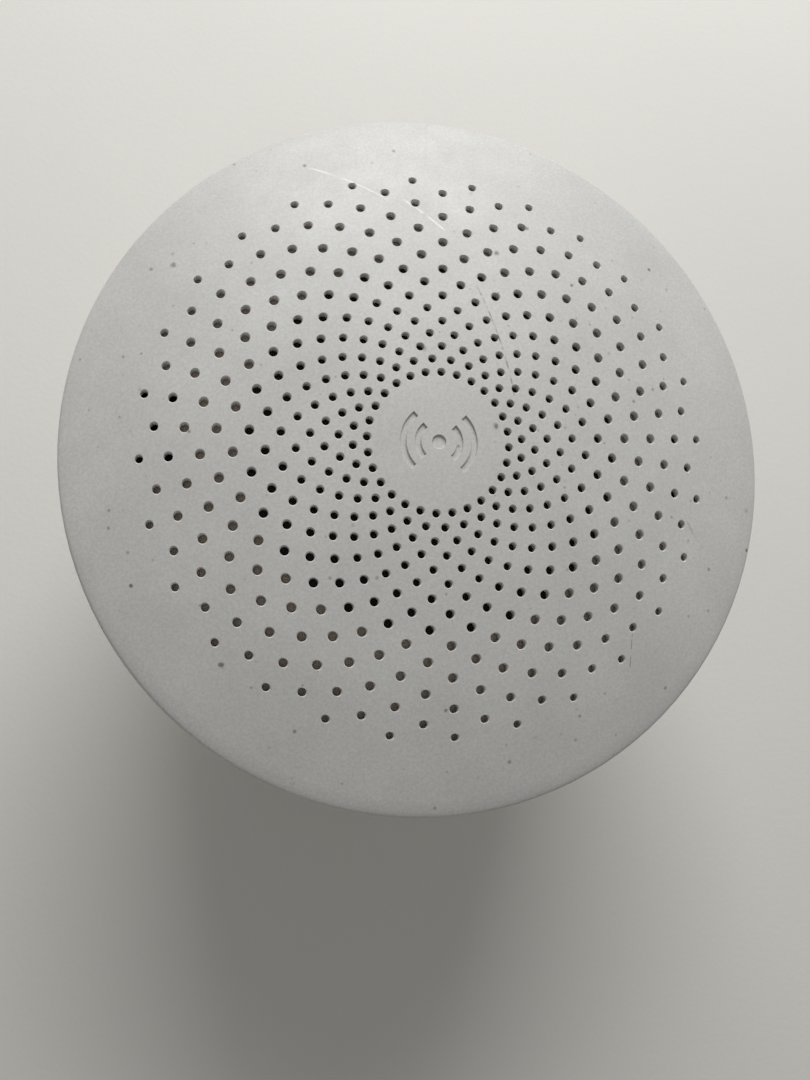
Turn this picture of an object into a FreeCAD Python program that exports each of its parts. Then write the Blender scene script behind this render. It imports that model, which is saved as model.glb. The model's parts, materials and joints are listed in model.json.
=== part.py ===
"""Plug-in smart speaker and home hub: a domed puck that hangs on a wall socket by its own plug blades.

Sizes are millimetres. The origin is the middle of the face that meets the wall plate. +Z points out of
the wall through the middle of the grille, +Y points up the wall, and the push button is on the +X side.
"""

import FreeCAD, Part
import math
import os

V = FreeCAD.Vector
ORIGIN = V(0, 0, 0)
UP = V(0, 0, 1)
OUT = V(1, 0, 0)

# --- Driving dimensions -------------------------------------------------------------------------------

# Casing
BODY_DIAMETER = 80.5
BODY_DEPTH = 37.2  # wall face to the top of the dome
DOME_RISE = 5.8
COVER_WALL = 1.8
COVER_SKIRT = 2.8  # straight side of the front cover
COVER_EDGE = 0.6  # rounding where the dome meets the side
GRILLE_WALL = 1.0  # thinner wall of the cover where it is perforated
GRILLE_BORDER = 1.5  # last ring of holes to the edge of the thinner wall
SEAM = 0.3  # open line between the cover and the light ring
RING_BAND = 4.0  # height of the light ring that shows
RING_RECESS = 0.85
RING_WALL = 2.0
RING_TRAY_RISE = 1.3
HOUSING_WALL = 2.0
HOUSING_RECESS = 0.35
HOUSING_CORNER = 10.0
BOSS_HEIGHT = 4.0
BOSS_CLEARANCE = 0.9
BOSS_FLOOR = 3.0
BOSS_EDGE = 1.0

# Grille
GRILLE_HOLES_PER_RING = 28
GRILLE_RINGS = 16
GRILLE_INNER_RADIUS = 7.78
GRILLE_MARGIN = 8.72  # last ring of holes to the outside of the body
GRILLE_EVEN_GAPS = 5
GRILLE_GAP_SWELL = 0.14
HOLE_SMALL = 0.85
HOLE_LARGE = 1.04

# Mark in the middle of the grille: a dot between two pairs of arcs
MARK_DEPTH = 0.25
MARK_DOT_RADIUS = 0.8
MARK_ARC_RADII = (2.3, 3.9)
MARK_ARC_WIDTH = 0.75
MARK_ARC_HALF_ANGLE = 48.0

# Snap hooks that hold the cover to the baffle
HOOK_THICKNESS = 1.2
HOOK_WIDTH = 6.0
HOOK_BARB = 1.2
HOOK_BARB_HEIGHT = 1.1
HOOK_BARB_EDGE = 0.33  # blunt outer face of the barb
HOOK_GAP = 0.5
HOOK_WINDOW_WIDTH = 10.0
HOOK_WINDOW_LONG = 7.9
HOOK_WINDOW_SHORT = 2.6
HOOK_DROP = 1.6  # bottom of the skirt to the lower end of the barb
HOOK_ANGLES = (0.0, 90.0, 180.0, 270.0)

# Baffle behind the grille
BAFFLE_GAP = 0.4
BAFFLE_WALL = 1.4
BAFFLE_SKIRT = 1.6
BAFFLE_CLEARANCE = 0.2
BAFFLE_LIFT_GAP = 0.15  # thinner wall of the cover to the baffle's raised face under it
BAFFLE_LIFT_INSET = 0.25
SEAT_DROP = 0.6
MESH_THICKNESS = 0.3
MESH_GLUE = 0.05

# Speaker driver
SPEAKER_DIAMETER = 44.0
SPEAKER_LIP = 1.0
SPEAKER_FIT = 0.2
GASKET = 0.6
FRAME_SHEET = 0.8
PAN_DEPTH = 3.4
PAN_INSET = 4.4  # rim of the speaker to the outside of its pan
PAN_WINDOWS = 4
PAN_WINDOW_ARC = 50.0
PAN_WINDOW_START = 20.0
PAN_HOLE_RADIUS = 8.6
CONE_INSET = 2.2  # outside of the pan to the edge of the cone
CONE_THICKNESS = 0.35
CONE_DROP = 1.9
CONE_BELLY = (0.66, 0.62)  # where the flare passes, as shares of the cone's radius and drop
CONE_TRAVEL = 0.8  # each way from rest
SURROUND_THICKNESS = 0.35
SURROUND_GLUE = 1.4
SURROUND_GLUE_INNER = 0.7
SURROUND_REACH = 0.4  # roll beyond the outside of the pan
COIL_RADIUS = 5.5
COIL_FORMER = 0.15
COIL_WINDING = 0.25
COIL_OVERHANG = 0.6  # winding beyond each face of the top plate
COIL_TAIL = 0.2  # former beyond the winding
COIL_GAP = 0.3
COIL_FLOOR_GAP = 0.5  # former to yoke with the cone fully in
TOP_PLATE = 1.2
YOKE_PLATE = 1.4
MAGNET_RADIUS = 12.0
MAGNET_SETBACK = 0.6  # outside of the plates to the outside of the magnet
MAGNET_BORE_GAP = 1.2
DUST_CAP_RADIUS = 6.4
DUST_CAP_RISE = 1.5
SPIDER_RADIUS = 11.6
SPIDER_THICKNESS = 0.3
SPIDER_WAVES = 4
SPIDER_WAVE = 0.45
SPIDER_LEDGE = 0.6
SPIDER_FIT = 0.15

# Speaker leads, from the strip on the pan to the plug on the main board
TERMINAL_ANGLE = 60.0
TERMINAL_LONG = 9.0
TERMINAL_TALL = 2.2
TERMINAL_THICK = 0.8
LEAD_RADIUS = 0.55
LEAD_PITCH = 2.0
LEAD_SPREAD = 1.6  # how much wider apart the leads are at the strip
LEAD_SLACK = 0.9  # how far they rise on the way
BEND_SHARE = 0.45  # share of the shorter run that a bend takes
PLUG_REACH = 9.9  # outside of the pan to the middle of the plug
PLUG_DEPTH = 4.2
PLUG_WIDTH = 6.0
PLUG_HEIGHT = 3.2
PLUG_EDGE = 0.4
SOCKET_HEIGHT = 1.4
SOCKET_BORDER = 0.5

# Main board
MAIN_BOARD_DROP = 4.0  # seam of the housing to the top of the board
MAIN_BOARD = 1.2
MAIN_BOARD_CLEARANCE = 1.4
LED_COUNT = 18
LED_SIZE = 2.0
LED_HEIGHT = 0.7
LED_TO_RING = 0.4
LED_INSET = 1.5
PART_EDGE = 0.15  # rounding of small moulded packages

# Parts on the main board: deep, wide, tall, then distance and angle from the middle
AMPLIFIER = (4.0, 4.0, 0.9, 22.0, 20.0)
CONTROLLER = (7.0, 7.0, 1.0, 24.0, 118.0)
MEMORY = (5.0, 6.0, 1.2, 24.0, 332.0)
CRYSTAL = (2.5, 3.2, 0.8, 28.5, 312.0)
SMALL_CAN_RADIUS = 2.0
SMALL_CAN_HEIGHT = 3.1
SMALL_CAN_EDGE = 0.2
SMALL_CAN_PLACES = ((19.0, 350.0), (18.0, 40.0), (18.0, 95.0), (27.5, 350.0))

# Radio boards: deep, wide, then distance and angle from the middle
WIFI_BOARD = (13.0, 15.0, 23.5, 168.0)
ZIGBEE_BOARD = (12.0, 13.0, 23.5, 214.0)
RADIO_BOARD = 0.8
RADIO_ANTENNA = 3.4  # strip of each board that its can leaves bare
RADIO_CAN_BORDER = 0.6
RADIO_CAN_HEIGHT = 1.8
RADIO_CAN_EDGE = 0.3

# Link between the two boards
LINK_X = -25.6
LINK_PINS = 5
LINK_PITCH = 2.54
LINK_WIDTH = 2.5
LINK_PIN = 0.64
LINK_HOLE = 0.7
LINK_CLEARANCE = 0.8
SHEET_THICKNESS = 0.25

# Posts and screws
POST_INSET = 6.45
POST_RADIUS = 2.6
POST_ANGLES = (40.0, 140.0, 220.0, 320.0)
POST_CLEARANCE = 0.25
BOARD_POST_ANGLES = (90.0, 270.0)
BOARD_POST_INSET = 9.75
SCREW_RADIUS = 1.0
SCREW_PILOT = 1.0
SCREW_FREE = 1.25
SCREW_HEAD_RADIUS = 1.9
SCREW_HEAD_HEIGHT = 1.3
SCREW_HEAD_DOME = 0.65  # rise of the head above its rim
SCREW_CROSS = (2.2, 0.42, 0.6)  # length, width and depth of the cross
SCREW_POINT = (0.45, 0.8)  # radius and length of the point
SCREW_HEAD_FIT = 0.15
SCREW_BITE = 5.0
PILOT_SPARE = 0.4  # pilot hole below the point of its screw
BAFFLE_SCREW_FLOOR = 1.8

# Power board
POWER_BOARD = 1.6
POWER_SCREW_REACH = 3.5  # inside of the boss to the board's screws
POWER_STANDOFF = 1.5
POWER_SCREW_INSET = 4.0
POWER_SCREW_ANGLES = (35.0, 145.0, 235.0)
POWER_SCREW_BITE = 2.2
TALL_PART_CLEARANCE = 1.4
TAIL_SLOT_FIT = 0.1

# Parts on the power board: sizes, and places as X and Y
TRANSFORMER_PLACE = (14.5, -13.5)
TRANSFORMER_CORE = (13.0, 12.6, 5.0)
TRANSFORMER_LEG = 3.9
TRANSFORMER_YOKE = 1.95
TRANSFORMER_WINDOW = 3.0
TRANSFORMER_FIT = 0.1
TRANSFORMER_TAPE_EDGE = 1.0
BOBBIN_WALL = 0.5
BOBBIN_LIFT = 0.6
BULK_RADIUS = 4.0
BULK_PLACES = ((-11.0, -14.0), (-20.0, -9.6))
OUTPUT_RADIUS = 3.2
OUTPUT_DROP = 1.2
OUTPUT_PLACE = (22.0, 1.5)
CAN_GROOVE = (0.4, 0.7, 1.2)  # depth, lower edge to middle of the groove, and middle height
CAN_EDGE = 0.4
VARISTOR = (3.6, 3.0)
VARISTOR_PLACE = (-1.5, 15.5)
SAFETY_CAPACITOR = (3.2, 2.8)
SAFETY_CAPACITOR_PLACE = (2.0, -21.5)
DISC_STAND = 0.6
DISC_EDGE = 0.85
DISC_LEG = 0.3
CHOKE_RADIUS = 3.2
CHOKE_CORE = 1.6
CHOKE_CHEEK = 1.2
CHOKE_WINDING = 2.8
CHOKE_WIRE_GAP = 0.05
CHOKE_DROP = 1.5
CHOKE_PLACE = (-12.5, 15.5)
FUSE_RADIUS = 1.8
FUSE_LENGTH = 9.0
FUSE_CAP = 2.0
FUSE_STEP = 0.2
FUSE_PLACE = (4.5, 21.5)
BRIDGE = (6.0, 5.0, 2.6)
BRIDGE_PLACE = (13.0, 11.5)
CONVERTER = (5.0, 4.0, 1.5)
CONVERTER_PLACE = (-2.5, -3.0)

# Plug: flat blades of the 10 A pattern, two slanted and one upright
BLADE_WIDTH = 6.35
BLADE_THICKNESS = 1.6
BLADE_LENGTH = 18.0
EARTH_BLADE_LENGTH = 21.0
BLADE_CIRCLE = 7.92
EARTH_BLADE_OFFSET = 10.31
BLADE_TIP = 0.5
BLADE_FIT = 0.05
BLADE_SHOULDER = 1.0
BLADE_SHOULDER_REACH = 1.2
BLADE_TAIL = 0.8
BLADE_TAIL_WIDTH = 2.6
BLADE_TAIL_STAND = 0.5
INSERT_RADIUS = 17.0
INSERT_FIT = 0.1
INSERT_FLANGE = 1.6
INSERT_FLANGE_REACH = 4.6
RETAINER = 1.4
INSERT_SCREW_ANGLES = (30.0, 150.0, 270.0)
INSERT_SCREW_INSET = 2.3
INSERT_SCREW_BITE = 2.0

# Button, its switch, and the light sensor
BUTTON_LENGTH = 11.0
BUTTON_HEIGHT = 3.0
BUTTON_PROUD = 0.35
BUTTON_TRAVEL = 0.3
BUTTON_FIT = 0.15
BUTTON_FLANGE = 1.0
BUTTON_FLANGE_REACH = 0.9
BUTTON_CROWN = 0.25
STEM_SIZE = 2.0
SWITCH_DEPTH = 3.6
SWITCH_WIDTH = 6.0
SWITCH_HEIGHT = 3.6
SWITCH_PLUNGER_PROUD = 1.2
SWITCH_PLUNGER_SIZE = 1.6
SWITCH_PLUNGER_INSIDE = 1.4
SWITCH_PLUNGER_FIT = 0.1
SWITCH_OVERTRAVEL = 0.3
SWITCH_TO_BUTTON = 0.05
SWITCH_SETBACK = 2.3
SWITCH_COVER = 0.25
SWITCH_COVER_INSET = 0.3
SENSOR_ANGLE = -23.0
SENSOR_LENS_RADIUS = 1.1
SENSOR_LENS_FLANGE = 0.6
SENSOR_LENS_PROUD = 0.1
SENSOR_LENS_EDGE = 0.09
SENSOR_LENS_SHOULDER = 1.0
SENSOR_LENS_PLAY = 0.1
SENSOR_EYE = (1.2, 2.4, 2.6)
SENSOR_EYE_INSET = 3.0

# --- Places worked out from the driving dimensions ----------------------------------------------------

body_radius = BODY_DIAMETER / 2
dome_radius = (body_radius**2 + DOME_RISE**2) / (2 * DOME_RISE)
dome_centre_z = BODY_DEPTH - dome_radius
rim_z = BODY_DEPTH - DOME_RISE
skirt_z = rim_z - COVER_SKIRT
ring_top_z = skirt_z - SEAM
seam_z = ring_top_z - RING_BAND
ring_radius = body_radius - RING_RECESS
ring_inner = ring_radius - RING_WALL
tray_top_z = seam_z + RING_TRAY_RISE
housing_radius = body_radius - HOUSING_RECESS
housing_inner = housing_radius - HOUSING_WALL
insert_flange_radius = INSERT_RADIUS + INSERT_FLANGE_REACH
insert_screw_ring = insert_flange_radius - INSERT_SCREW_INSET
insert_seat_z = BOSS_FLOOR + INSERT_FLANGE
boss_radius = insert_flange_radius + BOSS_CLEARANCE + HOUSING_WALL
housing_corner = min(HOUSING_CORNER, housing_radius - boss_radius - HOUSING_WALL)
back_plate_z = BOSS_HEIGHT + HOUSING_WALL

main_top_z = seam_z - MAIN_BOARD_DROP
main_bottom_z = main_top_z - MAIN_BOARD
main_board_radius = housing_inner - MAIN_BOARD_CLEARANCE
led_radius = main_board_radius - LED_INSET
ring_bottom_z = main_top_z + LED_HEIGHT + LED_TO_RING

power_screw_ring = boss_radius - HOUSING_WALL + POWER_SCREW_REACH
power_board_radius = power_screw_ring + POWER_SCREW_INSET
power_bottom_z = back_plate_z + POWER_STANDOFF
power_top_z = power_bottom_z + POWER_BOARD
board_gap = main_bottom_z - power_top_z
tall_part = board_gap - TALL_PART_CLEARANCE

post_ring = body_radius - POST_INSET
board_post_ring = body_radius - BOARD_POST_INSET

baffle_depth = COVER_WALL + BAFFLE_GAP
baffle_radius = ring_inner - BAFFLE_CLEARANCE
baffle_skirt_inner = baffle_radius - BAFFLE_SKIRT
hook_outer = baffle_skirt_inner - HOOK_GAP
hook_inner = hook_outer - HOOK_THICKNESS
hook_bottom_z = skirt_z - HOOK_DROP

grille_radius = body_radius - GRILLE_MARGIN
field_radius = grille_radius + GRILLE_BORDER

speaker_radius = SPEAKER_DIAMETER / 2
speaker_opening = speaker_radius - SPEAKER_LIP
pan_radius = speaker_radius - PAN_INSET
cone_radius = pan_radius - CONE_INSET
plug_ring = pan_radius + PLUG_REACH


def dome_z(radius, depth=0.0):
    """Height of the dome at a radius, on the sphere that lies depth below its outer surface."""
    return dome_centre_z + math.sqrt((dome_radius - depth) ** 2 - radius**2)


seat_z = dome_z(speaker_radius, baffle_depth + BAFFLE_WALL) - SEAT_DROP
frame_top_z = seat_z - GASKET
pan_floor_z = frame_top_z - PAN_DEPTH
plate_bottom_z = pan_floor_z - FRAME_SHEET - TOP_PLATE
magnet_bottom_z = plate_bottom_z - COIL_OVERHANG - COIL_TAIL - CONE_TRAVEL - COIL_FLOOR_GAP
yoke_bottom_z = magnet_bottom_z - YOKE_PLATE
coil_bottom_z = plate_bottom_z - COIL_OVERHANG
coil_top_z = plate_bottom_z + TOP_PLATE + COIL_OVERHANG
cone_edge_z = frame_top_z
neck_z = cone_edge_z - CONE_DROP
former_outer = COIL_RADIUS + COIL_FORMER
coil_outer = former_outer + COIL_WINDING
gap_outer = coil_outer + COIL_GAP
pole_radius = COIL_RADIUS - COIL_GAP

switch_front = main_board_radius - SWITCH_SETBACK
switch_axis_z = main_bottom_z - SWITCH_HEIGHT / 2
stem_end = switch_front + SWITCH_PLUNGER_PROUD + SWITCH_TO_BUTTON

CUT = 1.0  # how far a cutter stands out of what it cuts
TINY = 1e-4


# --- Small helpers ------------------------------------------------------------------------------------


def polar(radius, angle, z=0.0):
    """A point at a radius and an angle in degrees from +X."""
    return V(radius * math.cos(math.radians(angle)), radius * math.sin(math.radians(angle)), z)


def cylinder(radius, bottom, top, at=(0.0, 0.0)):
    """An upright cylinder between two heights."""
    return Part.makeCylinder(radius, top - bottom, V(at[0], at[1], bottom))


def tube(outer, inner, bottom, top, at=(0.0, 0.0)):
    """An upright tube between two heights."""
    return cylinder(outer, bottom, top, at).cut(cylinder(inner, bottom, top, at))


def block(size_x, size_y, bottom, top, at=(0.0, 0.0)):
    """An upright box, centred on a point, between two heights."""
    return Part.makeBox(size_x, size_y, top - bottom, V(at[0] - size_x / 2, at[1] - size_y / 2, bottom))


def soft_block(size_x, size_y, bottom, top, radius, at=(0.0, 0.0)):
    """A box whose four upright edges and top edges are rounded."""
    solid = block(size_x, size_y, bottom, top, at)
    edges = [e for e in solid.Edges if e.BoundBox.ZMax > top - TINY or e.BoundBox.ZLength > TINY]
    return solid.makeFillet(radius, edges)


def turned(shape, angle):
    """A copy of a shape turned about the Z axis."""
    copy = shape.copy()
    copy.rotate(ORIGIN, UP, angle)
    return copy


def moved(shape, x=0.0, y=0.0, z=0.0):
    """A copy of a shape moved by an offset."""
    copy = shape.copy()
    copy.translate(V(x, y, z))
    return copy


def placed(shape, radius, angle):
    """A copy of a shape moved out along +X and then turned about Z."""
    return turned(moved(shape, x=radius), angle)


def lathe(start, *moves):
    """A solid turned about Z from an outline of radius and height that closes on its start.

    A move is the end point of a straight line, or a pair of points: one on an arc, and the arc's end.
    """
    here = V(start[0], 0, start[1])
    edges = []
    for move in moves + (start,):
        if isinstance(move[0], tuple):
            middle = V(move[0][0], 0, move[0][1])
            there = V(move[1][0], 0, move[1][1])
            edges.append(Part.Arc(here, middle, there).toShape())
        else:
            there = V(move[0], 0, move[1])
            edges.append(Part.LineSegment(here, there).toShape())
        here = there
    return Part.Face(Part.Wire(edges)).revolve(ORIGIN, UP, 360)


def cap_middle(radius, base, rise):
    """The point half way out on a spherical cap, as radius and height."""
    sphere = (radius**2 + rise**2) / (2 * rise)
    return radius / 2, base + rise - sphere + math.sqrt(sphere**2 - radius**2 / 4)


def ring_wise(shape, radius, angles):
    """Copies of a shape at one radius and several angles."""
    return [placed(shape, radius, angle) for angle in angles]


def box_about(size_x, size_y, size_z, centre):
    """A box about its centre."""
    return Part.makeBox(size_x, size_y, size_z, centre - V(size_x / 2, size_y / 2, size_z / 2))


def dome_shell(inner, outer, depth, thickness):
    """A ring of domed sheet whose upper face lies depth below the outside of the dome."""
    middle = (inner + outer) / 2
    low = depth + thickness
    return lathe(
        (inner, dome_z(inner, depth)),
        ((middle, dome_z(middle, depth)), (outer, dome_z(outer, depth))),
        (outer, dome_z(outer, low)),
        ((middle, dome_z(middle, low)), (inner, dome_z(inner, low))),
    )


def pill(length, height, near, far, z):
    """A lozenge with round ends, length along Y and height along Z, that reaches along X from near to far."""
    half = (length - height) / 2
    radius = height / 2
    ends = [Part.makeCylinder(radius, far - near, V(near, side * half, z), OUT) for side in (-1, 1)]
    bar = Part.makeBox(far - near, 2 * half, height, V(near, -half, z - radius))
    return bar.fuse(ends).removeSplitter()


def screw(length, seat_z):
    """A cross-head screw on the Z axis that points down, with the seat of its domed head at a height."""
    top = seat_z + SCREW_HEAD_HEIGHT
    rim_top = top - SCREW_HEAD_DOME
    point_radius, point_length = SCREW_POINT
    tip = seat_z - length
    body = lathe(
        (0, tip),
        (point_radius, tip),
        (SCREW_RADIUS, tip + point_length),
        (SCREW_RADIUS, seat_z),
        (SCREW_HEAD_RADIUS, seat_z),
        (SCREW_HEAD_RADIUS, rim_top),
        (cap_middle(SCREW_HEAD_RADIUS, rim_top, SCREW_HEAD_DOME), (0, top)),
    )
    cross_length, cross_width, cross_depth = SCREW_CROSS
    slot = block(cross_length, cross_width, top - cross_depth, top + CUT)
    return body.cut([slot, turned(slot, 90)])


def wire(points, radius):
    """A round wire along straight runs joined by tangent arcs, each as large as its two runs allow."""
    edges = []
    here = points[0]
    for before, corner, after in zip(points, points[1:], points[2:]):
        back = (before - corner).normalize()
        on = (after - corner).normalize()
        turn = math.pi - back.getAngle(on)
        reach = BEND_SHARE * min(before.distanceToPoint(corner), corner.distanceToPoint(after))
        arc_radius = reach / math.tan(turn / 2)
        start, end = corner + back * reach, corner + on * reach
        middle = corner + (back + on).normalize() * (arc_radius / math.cos(turn / 2) - arc_radius)
        edges.append(Part.LineSegment(here, start).toShape())
        edges.append(Part.Arc(start, middle, end).toShape())
        here = end
    edges.append(Part.LineSegment(here, points[-1]).toShape())
    path = Part.Wire(edges)
    section = Part.Wire(Part.makeCircle(radius, points[0], points[1] - points[0]))
    return path.makePipeShell([section], True, True)


def save(node, *shapes):
    """Writes one sub-part, which may be a group of separate solids."""
    solids = [solid for shape in shapes for solid in shape.Solids]
    for solid in solids:
        if not solid.isValid() or solid.Volume <= 0:
            raise ValueError(f"{node} has a solid that is not sound")
    whole = solids[0] if len(solids) == 1 else Part.makeCompound(solids)
    whole.exportStep(f"parts/{node}.step")


# --- Casing -------------------------------------------------------------------------------------------


def swell(index, first, last):
    """0 up to first, then half a sine wave that is back to 0 at last."""
    return math.sin(math.pi * (index - first) / (last - first)) if index > first else 0.0


def grille_rings():
    """Radius and hole radius of each ring of holes, from the middle outwards."""
    gaps = GRILLE_RINGS - 1
    weights = [1 + GRILLE_GAP_SWELL * swell(gap, GRILLE_EVEN_GAPS, gaps) for gap in range(1, gaps + 1)]
    step = (grille_radius - GRILLE_INNER_RADIUS) / sum(weights)
    rings = []
    for ring in range(1, GRILLE_RINGS + 1):
        radius = GRILLE_INNER_RADIUS + step * sum(weights[: ring - 1])
        growth = (HOLE_LARGE - HOLE_SMALL) * swell(ring, GRILLE_EVEN_GAPS + 1, GRILLE_RINGS)
        rings.append((radius, (HOLE_SMALL + growth) / 2))
    return rings


def grille_cutters():
    """One round cutter per hole. Every other ring is turned by half a pitch."""
    pitch = 360 / GRILLE_HOLES_PER_RING
    cutters = []
    for ring, (radius, hole) in enumerate(grille_rings()):
        low = dome_z(radius, GRILLE_WALL) - CUT
        high = dome_z(radius) + CUT
        for place in range(GRILLE_HOLES_PER_RING):
            at = polar(radius, pitch * (place + 0.5 * (ring % 2)))
            cutters.append(cylinder(hole, low, high, (at.x, at.y)))
    return cutters


def mark_cutters():
    """The sunk dot and arcs in the middle of the grille."""
    low = dome_z(MARK_ARC_RADII[-1]) - MARK_DEPTH
    high = BODY_DEPTH + CUT
    cutters = [cylinder(MARK_DOT_RADIUS, low, high)]
    for radius in MARK_ARC_RADII:
        outer = radius + MARK_ARC_WIDTH / 2
        arc = tube(outer, outer - MARK_ARC_WIDTH, low, high)
        sector = Part.makeCylinder(2 * outer, high - low, V(0, 0, low), UP, 2 * MARK_ARC_HALF_ANGLE)
        for facing in (0, 180):
            cutters.append(arc.common(turned(sector, facing - MARK_ARC_HALF_ANGLE)))
    return cutters


def cover_hook():
    """A springy leg under the cover on the +X side, with a barb on its outer face."""
    top = dome_z(hook_outer, COVER_WALL / 2)
    leg = block(HOOK_THICKNESS, HOOK_WIDTH, hook_bottom_z, top, (hook_inner + HOOK_THICKNESS / 2, 0))
    side = -HOOK_WIDTH / 2
    tip = hook_outer + HOOK_BARB
    barb_top = hook_bottom_z + HOOK_BARB_HEIGHT
    corners = [
        V(hook_outer, side, hook_bottom_z),
        V(tip, side, barb_top - HOOK_BARB_EDGE),
        V(tip, side, barb_top),
        V(hook_outer, side, barb_top),
    ]
    barb = Part.Face(Part.makePolygon(corners + corners[:1])).extrude(V(0, HOOK_WIDTH, 0))
    return leg.fuse(barb)


def front_cover():
    """The white dome with the grille, a short straight side and four hooks."""
    inner = body_radius - COVER_WALL
    middle = body_radius / 2
    border = (inner + field_radius) / 2
    field = field_radius / 2
    shell = lathe(
        (0, dome_z(0)),
        ((middle, dome_z(middle)), (body_radius, rim_z)),
        (body_radius, skirt_z),
        (inner, skirt_z),
        (inner, dome_z(inner, COVER_WALL)),
        ((border, dome_z(border, COVER_WALL)), (field_radius, dome_z(field_radius, COVER_WALL))),
        (field_radius, dome_z(field_radius, GRILLE_WALL)),
        ((field, dome_z(field, GRILLE_WALL)), (0, dome_z(0, GRILLE_WALL))),
    )
    rim = [e for e in shell.Edges if abs(e.BoundBox.ZMax - rim_z) < TINY and e.BoundBox.ZLength < TINY]
    shell = shell.makeFillet(COVER_EDGE, rim)
    shell = shell.fuse([turned(cover_hook(), angle) for angle in HOOK_ANGLES]).removeSplitter()
    return shell.cut(grille_cutters() + mark_cutters())


def grille_mesh():
    """Black cloth glued under the holes that the speaker sounds through."""
    radius = speaker_opening - BAFFLE_CLEARANCE
    top = GRILLE_WALL + MESH_GLUE
    low = top + MESH_THICKNESS
    return lathe(
        (0, dome_z(0, top)),
        ((radius / 2, dome_z(radius / 2, top)), (radius, dome_z(radius, top))),
        (radius, dome_z(radius, low)),
        ((radius / 2, dome_z(radius / 2, low)), (0, dome_z(0, low))),
    )


def light_ring():
    """The milky ring whose band shows at the side, with a tray that gathers the light of the LEDs."""
    tray_inner = led_radius - LED_SIZE
    lip_outer = housing_inner - BAFFLE_CLEARANCE
    ring = lathe(
        (tray_inner, ring_bottom_z),
        (lip_outer, ring_bottom_z),
        (lip_outer, seam_z),
        (ring_radius, seam_z),
        (ring_radius, ring_top_z),
        (ring_inner, ring_top_z),
        (ring_inner, tray_top_z),
        (tray_inner, tray_top_z),
    )
    notch = cylinder(POST_RADIUS + POST_CLEARANCE, ring_bottom_z, tray_top_z)
    return ring.cut(ring_wise(notch, post_ring, POST_ANGLES))


def hook_window(reach):
    """The opening on the +X side that a hook goes down through, and the slot that its barb rests in."""
    window = block(reach, HOOK_WINDOW_WIDTH, tray_top_z, BODY_DEPTH, (baffle_skirt_inner - reach / 2, 0))
    slot = block(
        2 * BAFFLE_SKIRT,
        HOOK_WIDTH + 2 * HOOK_GAP,
        hook_bottom_z - HOOK_GAP / 2,
        hook_bottom_z + HOOK_BARB_HEIGHT,
        (baffle_skirt_inner + BAFFLE_SKIRT / 2, 0),
    )
    return window.fuse(slot)


def speaker_baffle():
    """The domed plate behind the grille, which holds the speaker and takes the cover's hooks."""
    sunk = baffle_depth + BAFFLE_WALL / 2
    seat_outer = speaker_radius + SPEAKER_FIT + BAFFLE_WALL
    plate = dome_shell(speaker_opening, baffle_radius, baffle_depth, BAFFLE_WALL)
    lift_depth = GRILLE_WALL + BAFFLE_LIFT_GAP
    lift = dome_shell(speaker_opening, field_radius - BAFFLE_LIFT_INSET, lift_depth, sunk - lift_depth)
    seat_top = dome_z(seat_outer, sunk)
    seat = tube(seat_outer, speaker_opening, seat_z, seat_top)
    wall = tube(seat_outer, speaker_radius + SPEAKER_FIT, frame_top_z - FRAME_SHEET, seat_top)
    skirt = tube(baffle_radius, baffle_skirt_inner, tray_top_z, dome_z(baffle_radius, sunk))
    windows = [hook_window(HOOK_WINDOW_SHORT if angle % 180 else HOOK_WINDOW_LONG) for angle in HOOK_ANGLES]
    windows = [turned(window, angle) for window, angle in zip(windows, HOOK_ANGLES)]
    column = cylinder(POST_RADIUS, seam_z, dome_z(post_ring + POST_RADIUS, sunk))
    baffle = plate.fuse([lift, skirt]).cut(windows)
    baffle = baffle.fuse([seat, wall] + ring_wise(column, post_ring, POST_ANGLES))
    ledge_z = seam_z + BAFFLE_SCREW_FLOOR
    well = cylinder(SCREW_HEAD_RADIUS + SCREW_HEAD_FIT, ledge_z, BODY_DEPTH)
    well = well.fuse(cylinder(SCREW_FREE, seam_z - CUT, ledge_z))
    return baffle.cut(ring_wise(well, post_ring, POST_ANGLES)).removeSplitter()


def baffle_screws():
    """Four screws that pull the baffle and the light ring down on the housing."""
    one = screw(BAFFLE_SCREW_FLOOR + SCREW_BITE, seam_z + BAFFLE_SCREW_FLOOR)
    return ring_wise(one, post_ring, POST_ANGLES)


def housing_outline(wall, floor):
    """The housing's turned outline, drawn in from the outside by a wall, as moves for lathe."""
    radius = housing_radius - wall
    corner = housing_corner - wall
    flat = housing_radius - housing_corner
    centre_z = BOSS_HEIGHT + housing_corner
    half = corner * math.sqrt(0.5)
    return [
        (boss_radius - wall, floor),
        (boss_radius - wall, BOSS_HEIGHT + wall),
        (flat, BOSS_HEIGHT + wall),
        ((flat + half, centre_z - half), (radius, centre_z)),
        (radius, seam_z),
        (0, seam_z),
    ]


def pilot(top, bite):
    """A blind screw hole on the Z axis that opens upwards, a little deeper than its screw reaches."""
    return cylinder(SCREW_PILOT, top - bite - PILOT_SPARE, top + CUT)


def housing_posts(envelope):
    """The posts for the baffle, the main board and the power board."""
    baffle_post = cylinder(POST_RADIUS, 0, seam_z)
    board_post = cylinder(POST_RADIUS, 0, main_bottom_z)
    standoff = cylinder(POST_RADIUS, 0, power_bottom_z)
    posts = ring_wise(baffle_post, post_ring, POST_ANGLES)
    posts += ring_wise(board_post, board_post_ring, BOARD_POST_ANGLES)
    posts += ring_wise(standoff, power_screw_ring, POWER_SCREW_ANGLES)
    return [post.common(envelope) for post in posts]


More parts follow.
